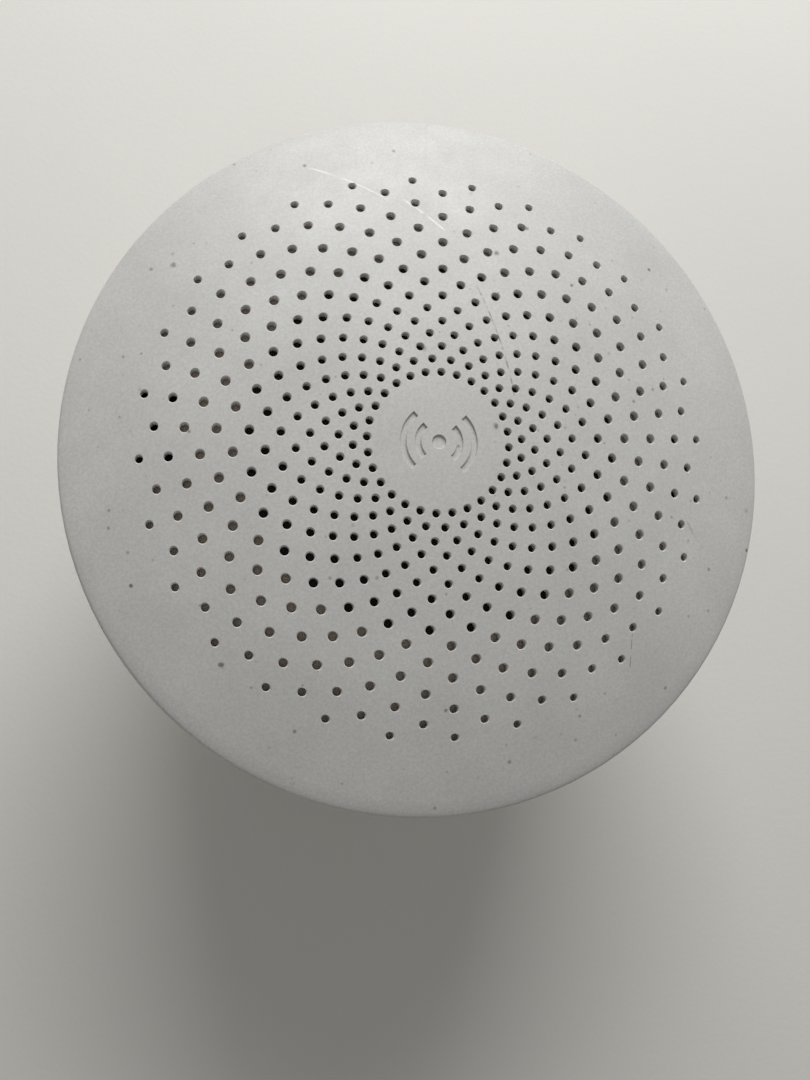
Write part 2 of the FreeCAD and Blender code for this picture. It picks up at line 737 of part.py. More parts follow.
def housing_holes():
    """The hole for the plug insert, the screw holes, the button's slot and the lens hole."""
    slot_length = BUTTON_LENGTH + 2 * BUTTON_FIT
    slot_height = BUTTON_HEIGHT + 2 * BUTTON_FIT
    cuts = [cylinder(INSERT_RADIUS, -CUT, BOSS_FLOOR + CUT)]
    cuts += ring_wise(pilot(seam_z, SCREW_BITE), post_ring, POST_ANGLES)
    cuts += ring_wise(pilot(main_bottom_z, SCREW_BITE), board_post_ring, BOARD_POST_ANGLES)
    cuts += ring_wise(pilot(power_bottom_z, POWER_SCREW_BITE), power_screw_ring, POWER_SCREW_ANGLES)
    cuts += ring_wise(pilot(BOSS_FLOOR, INSERT_SCREW_BITE), insert_screw_ring, INSERT_SCREW_ANGLES)
    cuts.append(pill(slot_length, slot_height, stem_end, body_radius + CUT, switch_axis_z))
    lens_hole = Part.makeCylinder(SENSOR_LENS_RADIUS, HOUSING_WALL + 2 * CUT, V(0, 0, switch_axis_z), OUT)
    cuts.append(placed(lens_hole, housing_inner - CUT, SENSOR_ANGLE))
    return cuts


def rear_housing():
    """The white cup that carries the plug, the boards and the button."""
    envelope = lathe((0, 0), *housing_outline(0.0, 0.0))
    foot = [e for e in envelope.Edges if e.BoundBox.ZMax < TINY and e.BoundBox.ZLength < TINY]
    envelope = envelope.makeFillet(BOSS_EDGE, foot)
    cup = envelope.cut(lathe((0, BOSS_FLOOR), *housing_outline(HOUSING_WALL, BOSS_FLOOR)))
    return cup.fuse(housing_posts(envelope)).cut(housing_holes()).removeSplitter()


# --- Plug ---------------------------------------------------------------------------------------------


def blade_places():
    """Name, middle, turn about Z and length of each blade. A turn of 0 stands the blade's width along Y."""
    return [
        ("live_blade", polar(BLADE_CIRCLE, 30), 30, BLADE_LENGTH),
        ("neutral_blade", polar(BLADE_CIRCLE, 150), 150, BLADE_LENGTH),
        ("earth_blade", polar(EARTH_BLADE_OFFSET, 270), 0, EARTH_BLADE_LENGTH),
    ]


def at_blade(shape, place, turn):
    """A copy of a shape made at the origin, set where a blade stands."""
    return moved(turned(shape, turn), place.x, place.y)


def blade(place, turn, length):
    """A flat blade with a bevelled tip, a shoulder on the insert and a tail up through the power board."""
    flat = block(BLADE_THICKNESS, BLADE_WIDTH, -length, insert_seat_z)
    tip = [e for e in flat.Edges if e.BoundBox.ZMax < TINY - length]
    flat = flat.makeChamfer(BLADE_TIP, tip)
    shoulder_top = insert_seat_z + BLADE_SHOULDER
    reach = 2 * BLADE_SHOULDER_REACH
    shoulder = block(BLADE_THICKNESS + reach, BLADE_WIDTH + reach, insert_seat_z, shoulder_top)
    tail = block(BLADE_TAIL, BLADE_TAIL_WIDTH, shoulder_top, power_top_z + BLADE_TAIL_STAND)
    return at_blade(flat.fuse([shoulder, tail]).removeSplitter(), place, turn)


def blade_slots(size_x, size_y, bottom, top):
    """Upright cutters of one size, one where each blade stands."""
    return [at_blade(block(size_x, size_y, bottom, top), place, turn) for _, place, turn, _ in blade_places()]


def plug_insert():
    """The round face that carries the blades, with a flange that sits on the housing's floor."""
    plug = cylinder(INSERT_RADIUS - INSERT_FIT, 0, BOSS_FLOOR)
    flange = cylinder(insert_flange_radius, BOSS_FLOOR, insert_seat_z)
    fit = 2 * BLADE_FIT
    cuts = blade_slots(BLADE_THICKNESS + fit, BLADE_WIDTH + fit, -CUT, insert_seat_z + CUT)
    free_hole = cylinder(SCREW_FREE, BOSS_FLOOR - CUT, insert_seat_z + CUT)
    cuts += ring_wise(free_hole, insert_screw_ring, INSERT_SCREW_ANGLES)
    return plug.fuse(flange).cut(cuts).removeSplitter()


def blade_retainer():
    """The plate that holds the blades' shoulders down on the insert."""
    shoulder_top = insert_seat_z + BLADE_SHOULDER
    top = shoulder_top + RETAINER
    reach = 2 * (BLADE_SHOULDER_REACH + BLADE_FIT)
    fit = 2 * BLADE_FIT
    cuts = blade_slots(BLADE_THICKNESS + reach, BLADE_WIDTH + reach, insert_seat_z - CUT, shoulder_top)
    cuts += blade_slots(BLADE_TAIL + fit, BLADE_TAIL_WIDTH + fit, insert_seat_z, top + CUT)
    well = cylinder(SCREW_HEAD_RADIUS + SCREW_HEAD_FIT, shoulder_top, top + CUT)
    well = well.fuse(cylinder(SCREW_FREE, insert_seat_z - CUT, shoulder_top))
    cuts += ring_wise(well, insert_screw_ring, INSERT_SCREW_ANGLES)
    return cylinder(insert_flange_radius, insert_seat_z, top).cut(cuts)


def insert_screws():
    """Three screws through the retainer and the insert into the housing's floor."""
    one = screw(INSERT_FLANGE + BLADE_SHOULDER + INSERT_SCREW_BITE, insert_seat_z + BLADE_SHOULDER)
    return ring_wise(one, insert_screw_ring, INSERT_SCREW_ANGLES)


# --- Speaker ------------------------------------------------------------------------------------------


def speaker_gasket():
    """A foam ring between the speaker's rim and its seat."""
    return tube(speaker_radius, speaker_opening, frame_top_z, seat_z)


def speaker_frame():
    """The pressed steel pan with a flat rim and four openings in its floor."""
    under = pan_floor_z - FRAME_SHEET
    pan = lathe(
        (PAN_HOLE_RADIUS, under),
        (pan_radius, under),
        (pan_radius, frame_top_z - FRAME_SHEET),
        (speaker_radius, frame_top_z - FRAME_SHEET),
        (speaker_radius, frame_top_z),
        (pan_radius - FRAME_SHEET, frame_top_z),
        (pan_radius - FRAME_SHEET, pan_floor_z),
        (PAN_HOLE_RADIUS, pan_floor_z),
    )
    sweep = tube(pan_radius - 2 * FRAME_SHEET, MAGNET_RADIUS + FRAME_SHEET, under - CUT, pan_floor_z + CUT)
    sector = Part.makeCylinder(pan_radius, FRAME_SHEET + 2 * CUT, V(0, 0, under - CUT), UP, PAN_WINDOW_ARC)
    window = sweep.common(turned(sector, PAN_WINDOW_START))
    return pan.cut([turned(window, 360 / PAN_WINDOWS * n) for n in range(PAN_WINDOWS)])


def magnet_parts():
    """The yoke with its pole, the ring magnet and the top plate."""
    plate_top = plate_bottom_z + TOP_PLATE
    pole = cylinder(pole_radius, magnet_bottom_z, plate_top)
    yoke = cylinder(MAGNET_RADIUS, yoke_bottom_z, magnet_bottom_z).fuse(pole).removeSplitter()
    bore = gap_outer + MAGNET_BORE_GAP
    magnet = tube(MAGNET_RADIUS - MAGNET_SETBACK, bore, magnet_bottom_z, plate_bottom_z)
    plate = tube(MAGNET_RADIUS, gap_outer, plate_bottom_z, plate_top)
    return yoke, magnet, plate


def cone_flare():
    """Three points of the flare of the cone's upper face: neck, belly and edge, as radius and height."""
    share_r, share_z = CONE_BELLY
    belly = (cone_radius * share_r, neck_z + CONE_DROP * share_z)
    return (former_outer, neck_z), belly, (cone_radius, cone_edge_z)


def speaker_cone():
    """The shallow paper cone from the coil's neck to the surround."""
    neck, belly, edge = cone_flare()
    under = [(radius, z - CONE_THICKNESS) for radius, z in (edge, belly, neck)]
    return lathe(neck, (belly, edge), under[0], (under[1], under[2]))


def cone_height(radius):
    """Height of the cone's upper face at a radius."""
    neck, belly, edge = [V(r, 0, z) for r, z in cone_flare()]
    flare = Part.Arc(neck, belly, edge).toShape()
    upright = Part.LineSegment(V(radius, 0, neck.z - CUT), V(radius, 0, edge.z + CUT)).toShape()
    return flare.distToShape(upright)[1][0][0].z


def dust_cap():
    """The small dome that closes the middle of the cone."""
    base = cone_height(DUST_CAP_RADIUS)
    radius, rise = DUST_CAP_RADIUS, DUST_CAP_RISE
    inner, inner_rise = radius - CONE_THICKNESS, rise - CONE_THICKNESS
    return lathe(
        (0, base + rise),
        (cap_middle(radius, base, rise), (radius, base)),
        (inner, base),
        (cap_middle(inner, base, inner_rise), (0, base + inner_rise)),
    )


def coil_parts():
    """The coil's former and the copper wound on it."""
    former = tube(former_outer, COIL_RADIUS, coil_bottom_z - COIL_TAIL, neck_z)
    winding = tube(coil_outer, former_outer, coil_bottom_z, coil_top_z)
    return former, winding


def speaker_surround():
    """The half roll of rubber between the cone and the rim."""
    roll_outer = pan_radius + SURROUND_REACH
    middle = (cone_radius + roll_outer) / 2
    rise = (roll_outer - cone_radius) / 2
    low = cone_edge_z
    high = low + SURROUND_THICKNESS
    return lathe(
        (cone_radius - SURROUND_GLUE_INNER, low),
        (cone_radius, low),
        ((middle, low + rise - SURROUND_THICKNESS), (roll_outer, low)),
        (roll_outer + SURROUND_GLUE, low),
        (roll_outer + SURROUND_GLUE, high),
        (roll_outer, high),
        ((middle, low + rise), (cone_radius, high)),
        (cone_radius - SURROUND_GLUE_INNER, high),
    )


def spider_waves(start, pitch, base, order):
    """Arcs of the spider's waves, up and down in turn, from one end or the other."""
    moves = []
    for wave in order:
        crest = base + (SPIDER_WAVE if wave % 2 == 0 else -SPIDER_WAVE)
        end = wave if order.step < 0 else wave + 1
        moves.append(((start + pitch * (wave + 0.5), crest), (start + pitch * end, base)))
    return moves


def speaker_spider():
    """The corrugated disc that centres the coil, with a foot that is glued in the pan."""
    inner = former_outer + SPIDER_FIT
    ledge = SPIDER_RADIUS - SPIDER_LEDGE
    pitch = (ledge - inner) / SPIDER_WAVES
    low = pan_floor_z + SPIDER_LEDGE
    high = low + SPIDER_THICKNESS
    disc = lathe(
        (inner, low),
        *spider_waves(inner, pitch, low, range(SPIDER_WAVES)),
        (SPIDER_RADIUS, low),
        (SPIDER_RADIUS, high),
        (ledge, high),
        *spider_waves(inner, pitch, high, range(SPIDER_WAVES - 1, -1, -1)),
    )
    return disc.fuse(tube(SPIDER_RADIUS, ledge, pan_floor_z, low)).removeSplitter()


def speaker_terminals():
    """The strip on the side of the pan that the leads are soldered to."""
    strip = block(TERMINAL_THICK, TERMINAL_LONG, pan_floor_z, pan_floor_z + TERMINAL_TALL)
    return placed(strip, pan_radius + TERMINAL_THICK / 2, TERMINAL_ANGLE)


def speaker_leads():
    """Two insulated leads that rise from the terminals and come down into the plug."""
    near = pan_radius + TERMINAL_THICK
    run = (plug_ring - near) / 3
    start_z = pan_floor_z + TERMINAL_TALL / 2
    end_z = main_top_z + SOCKET_HEIGHT + PLUG_HEIGHT
    leads = []
    for side in (-1, 1):
        y = side * LEAD_PITCH / 2
        wide = y * LEAD_SPREAD
        points = [
            V(near, wide, start_z),
            V(near + run, wide, start_z),
            V(near + 2 * run, (wide + y) / 2, start_z + LEAD_SLACK),
            V(plug_ring, y, start_z + LEAD_SLACK / 2),
            V(plug_ring, y, end_z),
        ]
        leads.append(turned(wire(points, LEAD_RADIUS), TERMINAL_ANGLE))
    return leads


def speaker_plug_parts():
    """The socket on the main board and the plug pushed down on it."""
    border = 2 * SOCKET_BORDER
    socket_top = main_top_z + SOCKET_HEIGHT
    socket = soft_block(PLUG_DEPTH + border, PLUG_WIDTH + border, main_top_z, socket_top, PLUG_EDGE)
    plug = soft_block(PLUG_DEPTH, PLUG_WIDTH, socket_top, socket_top + PLUG_HEIGHT, PLUG_EDGE)
    return placed(socket, plug_ring, TERMINAL_ANGLE), placed(plug, plug_ring, TERMINAL_ANGLE)


# --- Main board ---------------------------------------------------------------------------------------


def main_board():
    """The round board under the speaker, notched around the posts."""
    low, high = main_bottom_z - CUT, main_top_z + CUT
    notch = cylinder(POST_RADIUS + POST_CLEARANCE, low, high)
    cuts = ring_wise(notch, post_ring, POST_ANGLES)
    cuts += ring_wise(cylinder(SCREW_FREE, low, high), board_post_ring, BOARD_POST_ANGLES)
    return cylinder(main_board_radius, main_bottom_z, main_top_z).cut(cuts)


def board_screws():
    """Two screws that hold the main board on its posts."""
    return ring_wise(screw(MAIN_BOARD + SCREW_BITE, main_top_z), board_post_ring, BOARD_POST_ANGLES)


def ring_leds():
    """Colour LEDs that shine up into the light ring."""
    led = soft_block(LED_SIZE, LED_SIZE, main_top_z, main_top_z + LED_HEIGHT, PART_EDGE)
    step = 360 / LED_COUNT
    return ring_wise(led, led_radius, [step * (n + 0.5) for n in range(LED_COUNT)])


def radio(deep, wide, distance, angle):
    """A small radio board and the pressed can over its chips, which leaves the antenna bare."""
    top = main_top_z + RADIO_BOARD
    can_deep = deep - RADIO_ANTENNA - RADIO_CAN_BORDER
    can_wide = wide - 2 * RADIO_CAN_BORDER
    board = block(deep, wide, main_top_z, top)
    can = soft_block(can_deep, can_wide, top, top + RADIO_CAN_HEIGHT, RADIO_CAN_EDGE)
    can = moved(can, (can_deep - deep) / 2 + RADIO_CAN_BORDER)
    return placed(board, distance, angle), placed(can, distance, angle)


def chip(deep, wide, tall, distance, angle):
    """A plain chip package on top of the main board."""
    return placed(soft_block(deep, wide, main_top_z, main_top_z + tall, PART_EDGE), distance, angle)


def small_cans():
    """Small canned capacitors on the main board."""
    top = main_top_z + SMALL_CAN_HEIGHT
    flat = SMALL_CAN_RADIUS - SMALL_CAN_EDGE
    arc = SMALL_CAN_EDGE * math.sqrt(0.5)
    can = lathe(
        (0, main_top_z),
        (SMALL_CAN_RADIUS, main_top_z),
        (SMALL_CAN_RADIUS, top - SMALL_CAN_EDGE),
        ((flat + arc, top - SMALL_CAN_EDGE + arc), (flat, top)),
        (0, top),
    )
    return [placed(can, distance, angle) for distance, angle in SMALL_CAN_PLACES]


def board_link():
    """The black strip between the two boards, and the pins through it."""
    strip = block(LINK_WIDTH, LINK_PINS * LINK_PITCH, power_top_z, main_bottom_z, (LINK_X, 0))
    rows = [(n - (LINK_PINS - 1) / 2) * LINK_PITCH for n in range(LINK_PINS)]
    holes = [block(LINK_HOLE, LINK_HOLE, power_top_z, main_bottom_z, (LINK_X, y)) for y in rows]
    pins = [block(LINK_PIN, LINK_PIN, power_top_z, main_bottom_z, (LINK_X, y)) for y in rows]
    return [strip.cut(holes)] + pins


def insulating_sheet():
    """A thin sheet stuck under the main board that keeps the mains parts off it."""
    low, high = main_bottom_z - SHEET_THICKNESS, main_bottom_z
    clear = 2 * LINK_CLEARANCE
    notch = cylinder(POST_RADIUS + POST_CLEARANCE, low - CUT, high)
    cuts = ring_wise(notch, board_post_ring, BOARD_POST_ANGLES)
    cuts.append(block(LINK_WIDTH + clear, LINK_PINS * LINK_PITCH + clear, low - CUT, high, (LINK_X, 0)))
    return cylinder(power_board_radius, low, high).cut(cuts)


# --- Button and light sensor --------------------------------------------------------------------------


def side_button():
    """The pill-shaped cap, the flange whose ends keep it in, and the stem that reaches the switch."""
    flange_length = BUTTON_LENGTH + 2 * BUTTON_FLANGE_REACH
    flange_face = math.sqrt(housing_inner**2 - (flange_length / 2) ** 2) - BUTTON_FIT
    face = housing_radius + BUTTON_PROUD
    cap = pill(BUTTON_LENGTH, BUTTON_HEIGHT, flange_face, face, switch_axis_z)
    crown = cylinder(face, switch_axis_z - BUTTON_HEIGHT, switch_axis_z + BUTTON_HEIGHT)
    cap = cap.common(crown)
    rim = [e for e in cap.Edges if e.BoundBox.XMin > flange_face + TINY and e.BoundBox.XLength < HOUSING_WALL]
    cap = cap.makeFillet(BUTTON_CROWN, rim)
    flange_back = flange_face - BUTTON_FLANGE
    flange = pill(flange_length, BUTTON_HEIGHT, flange_back, flange_face, switch_axis_z)
    middle = V((stem_end + flange_back) / 2, 0, switch_axis_z)
    stem = box_about(flange_back - stem_end, STEM_SIZE, STEM_SIZE, middle)
    return cap.fuse([flange, stem]).removeSplitter()


def switch_parts():
    """The switch's plastic body, its steel cover and its plunger, which has room to go in."""
    middle = switch_front - SWITCH_DEPTH / 2
    low = main_bottom_z - SWITCH_HEIGHT
    body = block(SWITCH_DEPTH, SWITCH_WIDTH, low, main_bottom_z, (middle, 0))
    bore = SWITCH_PLUNGER_SIZE + 2 * SWITCH_PLUNGER_FIT
    room = SWITCH_PLUNGER_INSIDE + BUTTON_TRAVEL + SWITCH_OVERTRAVEL
    cavity = box_about(room, bore, bore, V(switch_front - room / 2, 0, switch_axis_z))
    cover_depth = SWITCH_DEPTH - 2 * SWITCH_COVER_INSET
    cover_width = SWITCH_WIDTH + 2 * SWITCH_COVER
    cover = block(cover_depth, cover_width, low - SWITCH_COVER, main_bottom_z, (middle, 0))
    length = SWITCH_PLUNGER_PROUD + SWITCH_PLUNGER_INSIDE
    centre = V(switch_front - SWITCH_PLUNGER_INSIDE + length / 2, 0, switch_axis_z)
    plunger = box_about(length, SWITCH_PLUNGER_SIZE, SWITCH_PLUNGER_SIZE, centre)
    return body.cut(cavity), cover.cut(body), plunger


def sensor_parts():
    """The lens in the housing's wall and the light sensor behind it."""
    face = housing_radius + SENSOR_LENS_PROUD
    flange = SENSOR_LENS_RADIUS + SENSOR_LENS_FLANGE
    shoulder = math.sqrt((housing_inner - SENSOR_LENS_PLAY) ** 2 - flange**2)
    lens = Part.makeCylinder(SENSOR_LENS_RADIUS, face - shoulder, V(shoulder, 0, switch_axis_z), OUT)
    rim = [e for e in lens.Edges if e.BoundBox.XMin > face - TINY]
    lens = lens.makeFillet(SENSOR_LENS_EDGE, rim)
    back = V(shoulder - SENSOR_LENS_SHOULDER, 0, switch_axis_z)
    lens = lens.fuse(Part.makeCylinder(flange, SENSOR_LENS_SHOULDER, back, OUT)).removeSplitter()
    deep, wide, tall = SENSOR_EYE
    eye = soft_block(deep, wide, main_bottom_z - tall, main_bottom_z, PART_EDGE)
    return turned(lens, SENSOR_ANGLE), placed(eye, main_board_radius - SENSOR_EYE_INSET, SENSOR_ANGLE)


# --- Power board --------------------------------------------------------------------------------------


def power_board():
    """The round board behind, with slots for the blades' tails."""
    low, high = power_bottom_z - CUT, power_top_z + CUT
    notch = cylinder(POST_RADIUS + POST_CLEARANCE, low, high)
    cuts = ring_wise(notch, board_post_ring, BOARD_POST_ANGLES)
    cuts += ring_wise(cylinder(SCREW_FREE, low, high), power_screw_ring, POWER_SCREW_ANGLES)
    cuts += blade_slots(BLADE_TAIL + 2 * TAIL_SLOT_FIT, BLADE_TAIL_WIDTH + 2 * TAIL_SLOT_FIT, low, high)
    return cylinder(power_board_radius, power_bottom_z, power_top_z).cut(cuts)


def power_board_screws():
    """Three screws that hold the power board on its standoffs."""
    one = screw(POWER_BOARD + POWER_SCREW_BITE, power_top_z)
    return ring_wise(one, power_screw_ring, POWER_SCREW_ANGLES)


def bobbin(centre):
    """The moulding round the core's middle leg: a square tube, two end flanges and two feet."""
    core_x, core_y, core_z = TRANSFORMER_CORE
    fit = 2 * TRANSFORMER_FIT
    length = core_y - 2 * TRANSFORMER_YOKE - fit
    flange_x = TRANSFORMER_LEG + 2 * TRANSFORMER_WINDOW - fit
    flange_z = tall_part - 2 * BOBBIN_LIFT
    foot = TRANSFORMER_YOKE + BOBBIN_WALL
    tube_x, tube_z = TRANSFORMER_LEG + fit + 2 * BOBBIN_WALL, core_z + fit + 2 * BOBBIN_WALL
    shape = box_about(tube_x, length, tube_z, centre)
    for side in (-1, 1):
        flange_at = V(0, side * (length - BOBBIN_WALL) / 2, 0)
        foot_at = (0, side * (core_y - foot) / 2)
        foot_top = centre.z - core_z / 2 - TRANSFORMER_FIT
        shape = shape.fuse(box_about(flange_x, BOBBIN_WALL, flange_z, centre + flange_at))
        shape = shape.fuse(block(flange_x, foot, power_top_z, foot_top, foot_at))
    return shape.cut(box_about(TRANSFORMER_LEG + fit, core_y, core_z + fit, centre)).removeSplitter()


def transformer():
    """The ferrite core with two windows, its bobbin, and the taped winding."""
    centre = V(0, 0, power_top_z + tall_part / 2)
    core_x, core_y, core_z = TRANSFORMER_CORE
    window_y = core_y - 2 * TRANSFORMER_YOKE
    window_at = V((TRANSFORMER_LEG + TRANSFORMER_WINDOW) / 2, 0, 0)
    windows = [box_about(TRANSFORMER_WINDOW, window_y, core_z, centre + window_at * side) for side in (-1, 1)]
    core = box_about(core_x, core_y, core_z, centre).cut(windows)
    fit = 2 * TRANSFORMER_FIT
    winding = box_about(
        TRANSFORMER_LEG + 2 * TRANSFORMER_WINDOW - 2 * fit,
        window_y - 2 * fit - 2 * BOBBIN_WALL,
        tall_part - 2 * BOBBIN_LIFT - fit,
        centre,
    )
    long_edges = [e for e in winding.Edges if e.BoundBox.YLength > TRANSFORMER_TAPE_EDGE]
    winding = winding.makeFillet(TRANSFORMER_TAPE_EDGE, long_edges)
    inside = 2 * BOBBIN_WALL + fit
    winding = winding.cut(box_about(TRANSFORMER_LEG + inside, core_y, core_z + inside, centre))
    return [moved(shape, *TRANSFORMER_PLACE) for shape in (core, bobbin(centre), winding)]


def can_capacitor(radius, tall, place):
    """An upright canned capacitor with a rolled groove near its foot."""
    low, top = power_top_z, power_top_z + tall
    groove_depth, groove_half, groove_height = CAN_GROOVE
    groove_z = low + groove_height
    flat = radius - CAN_EDGE
    arc = CAN_EDGE * math.sqrt(0.5)
    can = lathe(
        (0, low),
        (radius, low),
        (radius, groove_z - groove_half),
        ((radius - groove_depth, groove_z), (radius, groove_z + groove_half)),
        (radius, top - CAN_EDGE),
        ((flat + arc, top - CAN_EDGE + arc), (flat, top)),
        (0, top),
    )
    return moved(can, *place)


def disc_part(radius, thickness, place):
    """A dipped disc that stands on edge on two legs, as varistors and safety capacitors do."""
    centre = power_top_z + radius + DISC_STAND
    body = Part.makeCylinder(radius, thickness, V(0, -thickness / 2, centre), V(0, 1, 0))
    body = body.makeFillet(DISC_EDGE, [e for e in body.Edges if e.Closed and e.BoundBox.YLength < TINY])
    leg = Part.makeCylinder(DISC_LEG, radius, V(0, 0, power_top_z))
    return moved(body.fuse([moved(leg, side * radius / 2) for side in (-1, 1)]), *place)


def choke():
    """A drum choke: a ferrite bobbin with a copper winding."""
    low, high = power_top_z, power_top_z + tall_part - CHOKE_DROP
    drum = lathe(
        (0, low),
        (CHOKE_RADIUS, low),
        (CHOKE_RADIUS, low + CHOKE_CHEEK),
        (CHOKE_CORE, low + CHOKE_CHEEK),
        (CHOKE_CORE, high - CHOKE_CHEEK),
        (CHOKE_RADIUS, high - CHOKE_CHEEK),
        (CHOKE_RADIUS, high),
        (0, high),
    )
    gap = CHOKE_CHEEK + CHOKE_WIRE_GAP
    winding = tube(CHOKE_WINDING, CHOKE_CORE + CHOKE_WIRE_GAP, low + gap, high - gap)
    return moved(drum, *CHOKE_PLACE), moved(winding, *CHOKE_PLACE)


def mains_fuse():
    """A lying fuse: a sleeve between two end caps."""
    x, y = FUSE_PLACE
    start = x - FUSE_LENGTH / 2
    axis_z = power_top_z + FUSE_RADIUS
    sleeve_length = FUSE_LENGTH - 2 * FUSE_CAP
    sleeve = Part.makeCylinder(FUSE_RADIUS - FUSE_STEP, sleeve_length, V(start + FUSE_CAP, y, axis_z), OUT)
    ends = (start, start + FUSE_LENGTH - FUSE_CAP)
    return [sleeve] + [Part.makeCylinder(FUSE_RADIUS, FUSE_CAP, V(end, y, axis_z), OUT) for end in ends]


def flat_part(deep, wide, tall, place):
    """A plain package on top of the power board."""
    return moved(soft_block(deep, wide, power_top_z, power_top_z + tall, PART_EDGE), *place)


# --- Assembly -----------------------------------------------------------------------------------------


def build_casing():
    save("front_cover", front_cover())
    save("grille_mesh", grille_mesh())
    save("speaker_baffle", speaker_baffle())
    save("baffle_screws", *baffle_screws())
    save("light_ring", light_ring())
    save("rear_housing", rear_housing())


def build_plug():
    save("plug_insert", plug_insert())
    save("blade_retainer", blade_retainer())
    save("insert_screws", *insert_screws())
    for name, place, turn, length in blade_places():
        save(name, blade(place, turn, length))


def build_speaker():
    save("speaker_gasket", speaker_gasket())
    save("speaker_frame", speaker_frame())
    yoke, magnet, plate = magnet_parts()
    save("speaker_yoke", yoke)
    save("speaker_magnet", magnet)
    save("speaker_top_plate", plate)
    former, winding = coil_parts()
    save("voice_coil_former", former)
    save("voice_coil_winding", winding)
    save("speaker_cone", speaker_cone())
    save("dust_cap", dust_cap())
    save("speaker_surround", speaker_surround())
    save("speaker_spider", speaker_spider())
    save("speaker_terminals", speaker_terminals())
    black, red = speaker_leads()
    save("speaker_lead_black", black)
    save("speaker_lead_red", red)
    socket, plug = speaker_plug_parts()
    save("speaker_socket", socket)
    save("speaker_plug", plug)


def build_main_board():
    save("main_board", main_board())
    save("board_screws", *board_screws())
    save("ring_leds", *ring_leds())
    wifi_board, wifi_can = radio(*WIFI_BOARD)
    zigbee_board, zigbee_can = radio(*ZIGBEE_BOARD)
    save("wifi_board", wifi_board)
    save("zigbee_board", zigbee_board)
    save("radio_cans", wifi_can, zigbee_can)
    save("audio_amplifier", chip(*AMPLIFIER))
    save("controller_chip", chip(*CONTROLLER))
    save("memory_chip", chip(*MEMORY))
    save("clock_crystal", chip(*CRYSTAL))
    save("board_capacitors", *small_cans())
    save("board_link", *board_link())
    save("insulating_sheet", insulating_sheet())


def build_controls():
    save("side_button", side_button())
    body, cover, plunger = switch_parts()
    save("switch_body", body)
    save("switch_cover", cover)
    save("switch_plunger", plunger)
    lens, eye = sensor_parts()
    save("sensor_lens", lens)
    save("light_sensor", eye)


def build_power_board():
    save("power_board", power_board())
    save("power_board_screws", *power_board_screws())
    core, bobbin, winding = transformer()
    save("transformer_core", core)
    save("transformer_bobbin", bobbin)
    save("transformer_winding", winding)
    save("bulk_capacitors", *[can_capacitor(BULK_RADIUS, tall_part, place) for place in BULK_PLACES])
    save("output_capacitor", can_capacitor(OUTPUT_RADIUS, tall_part - OUTPUT_DROP, OUTPUT_PLACE))
    save("varistor", disc_part(*VARISTOR, VARISTOR_PLACE))
    save("safety_capacitor", disc_part(*SAFETY_CAPACITOR, SAFETY_CAPACITOR_PLACE))
    save("choke", *choke())
    save("mains_fuse", *mains_fuse())
    save("bridge_rectifier", flat_part(*BRIDGE, BRIDGE_PLACE))
    save("converter_chip", flat_part(*CONVERTER, CONVERTER_PLACE))


def main():
    os.makedirs("parts", exist_ok=True)
    build_casing()
    build_plug()
    build_speaker()
    build_main_board()
    build_controls()
    build_power_board()


main()
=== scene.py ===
"""Looks of a plug-in smart speaker: a white domed puck with a perforated front, a milky light ring and a wall plug.

Sizes are millimetres and angles are degrees until they reach Blender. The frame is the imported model's: the
origin is the middle of the face on the wall plate, +Z points out through the grille, +Y points up the wall and
the push button is on the +X side.
"""

import json
import logging
import math
from dataclasses import dataclass
from enum import Enum
from typing import Callable, Sequence

import bmesh
import bpy
from mathutils import Matrix, Vector


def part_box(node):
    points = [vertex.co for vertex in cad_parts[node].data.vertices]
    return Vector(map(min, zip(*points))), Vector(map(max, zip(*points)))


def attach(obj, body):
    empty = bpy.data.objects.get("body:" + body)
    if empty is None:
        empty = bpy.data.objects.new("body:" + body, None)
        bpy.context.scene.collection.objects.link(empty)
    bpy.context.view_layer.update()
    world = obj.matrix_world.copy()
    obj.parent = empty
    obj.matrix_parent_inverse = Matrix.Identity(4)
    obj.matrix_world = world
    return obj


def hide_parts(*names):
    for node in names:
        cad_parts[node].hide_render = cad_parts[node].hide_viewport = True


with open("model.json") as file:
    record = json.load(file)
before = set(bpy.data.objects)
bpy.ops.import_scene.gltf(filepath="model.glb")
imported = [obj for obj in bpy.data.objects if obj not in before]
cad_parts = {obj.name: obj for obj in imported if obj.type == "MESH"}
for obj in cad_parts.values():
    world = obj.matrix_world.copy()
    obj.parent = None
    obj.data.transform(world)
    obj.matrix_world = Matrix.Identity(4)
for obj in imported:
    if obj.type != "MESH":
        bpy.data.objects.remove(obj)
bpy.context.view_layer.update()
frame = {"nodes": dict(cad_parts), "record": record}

MM = 0.001
MERGE = 0.002
SMOOTH_ANGLE = 28.0
ROOT = "hub"

Object = bpy.types.Object
Socket = bpy.types.NodeSocket
Material = bpy.types.Material
Point = tuple[float, float]
Place = tuple[float, float, float]
Colour = tuple[float, float, float]
Test = Callable[[Vector], bool]

log = logging.getLogger("smart_speaker")


class Kind(Enum):
    """What is selected in an open mesh."""

    POINTS = "VERT"
    EDGES = "EDGE"
    FACES = "FACE"


# --- The bench: hand tools that every part is made with -----------------------------------------------


def scaled(values: Sequence[float]) -> tuple[float, ...]:
    """Millimetres as scene units."""
    return tuple(value * MM for value in values)


def rest() -> None:
    """Leaves edit mode and deselects everything."""
    if bpy.context.mode != "OBJECT":
        bpy.ops.object.mode_set(mode="OBJECT")
    bpy.ops.object.select_all(action="DESELECT")


def hold(*pieces: Object) -> None:
    """Selects these objects alone, with the first one active."""
    rest()
    for piece in pieces:
        piece.select_set(True)
    bpy.context.view_layer.objects.active = pieces[0]


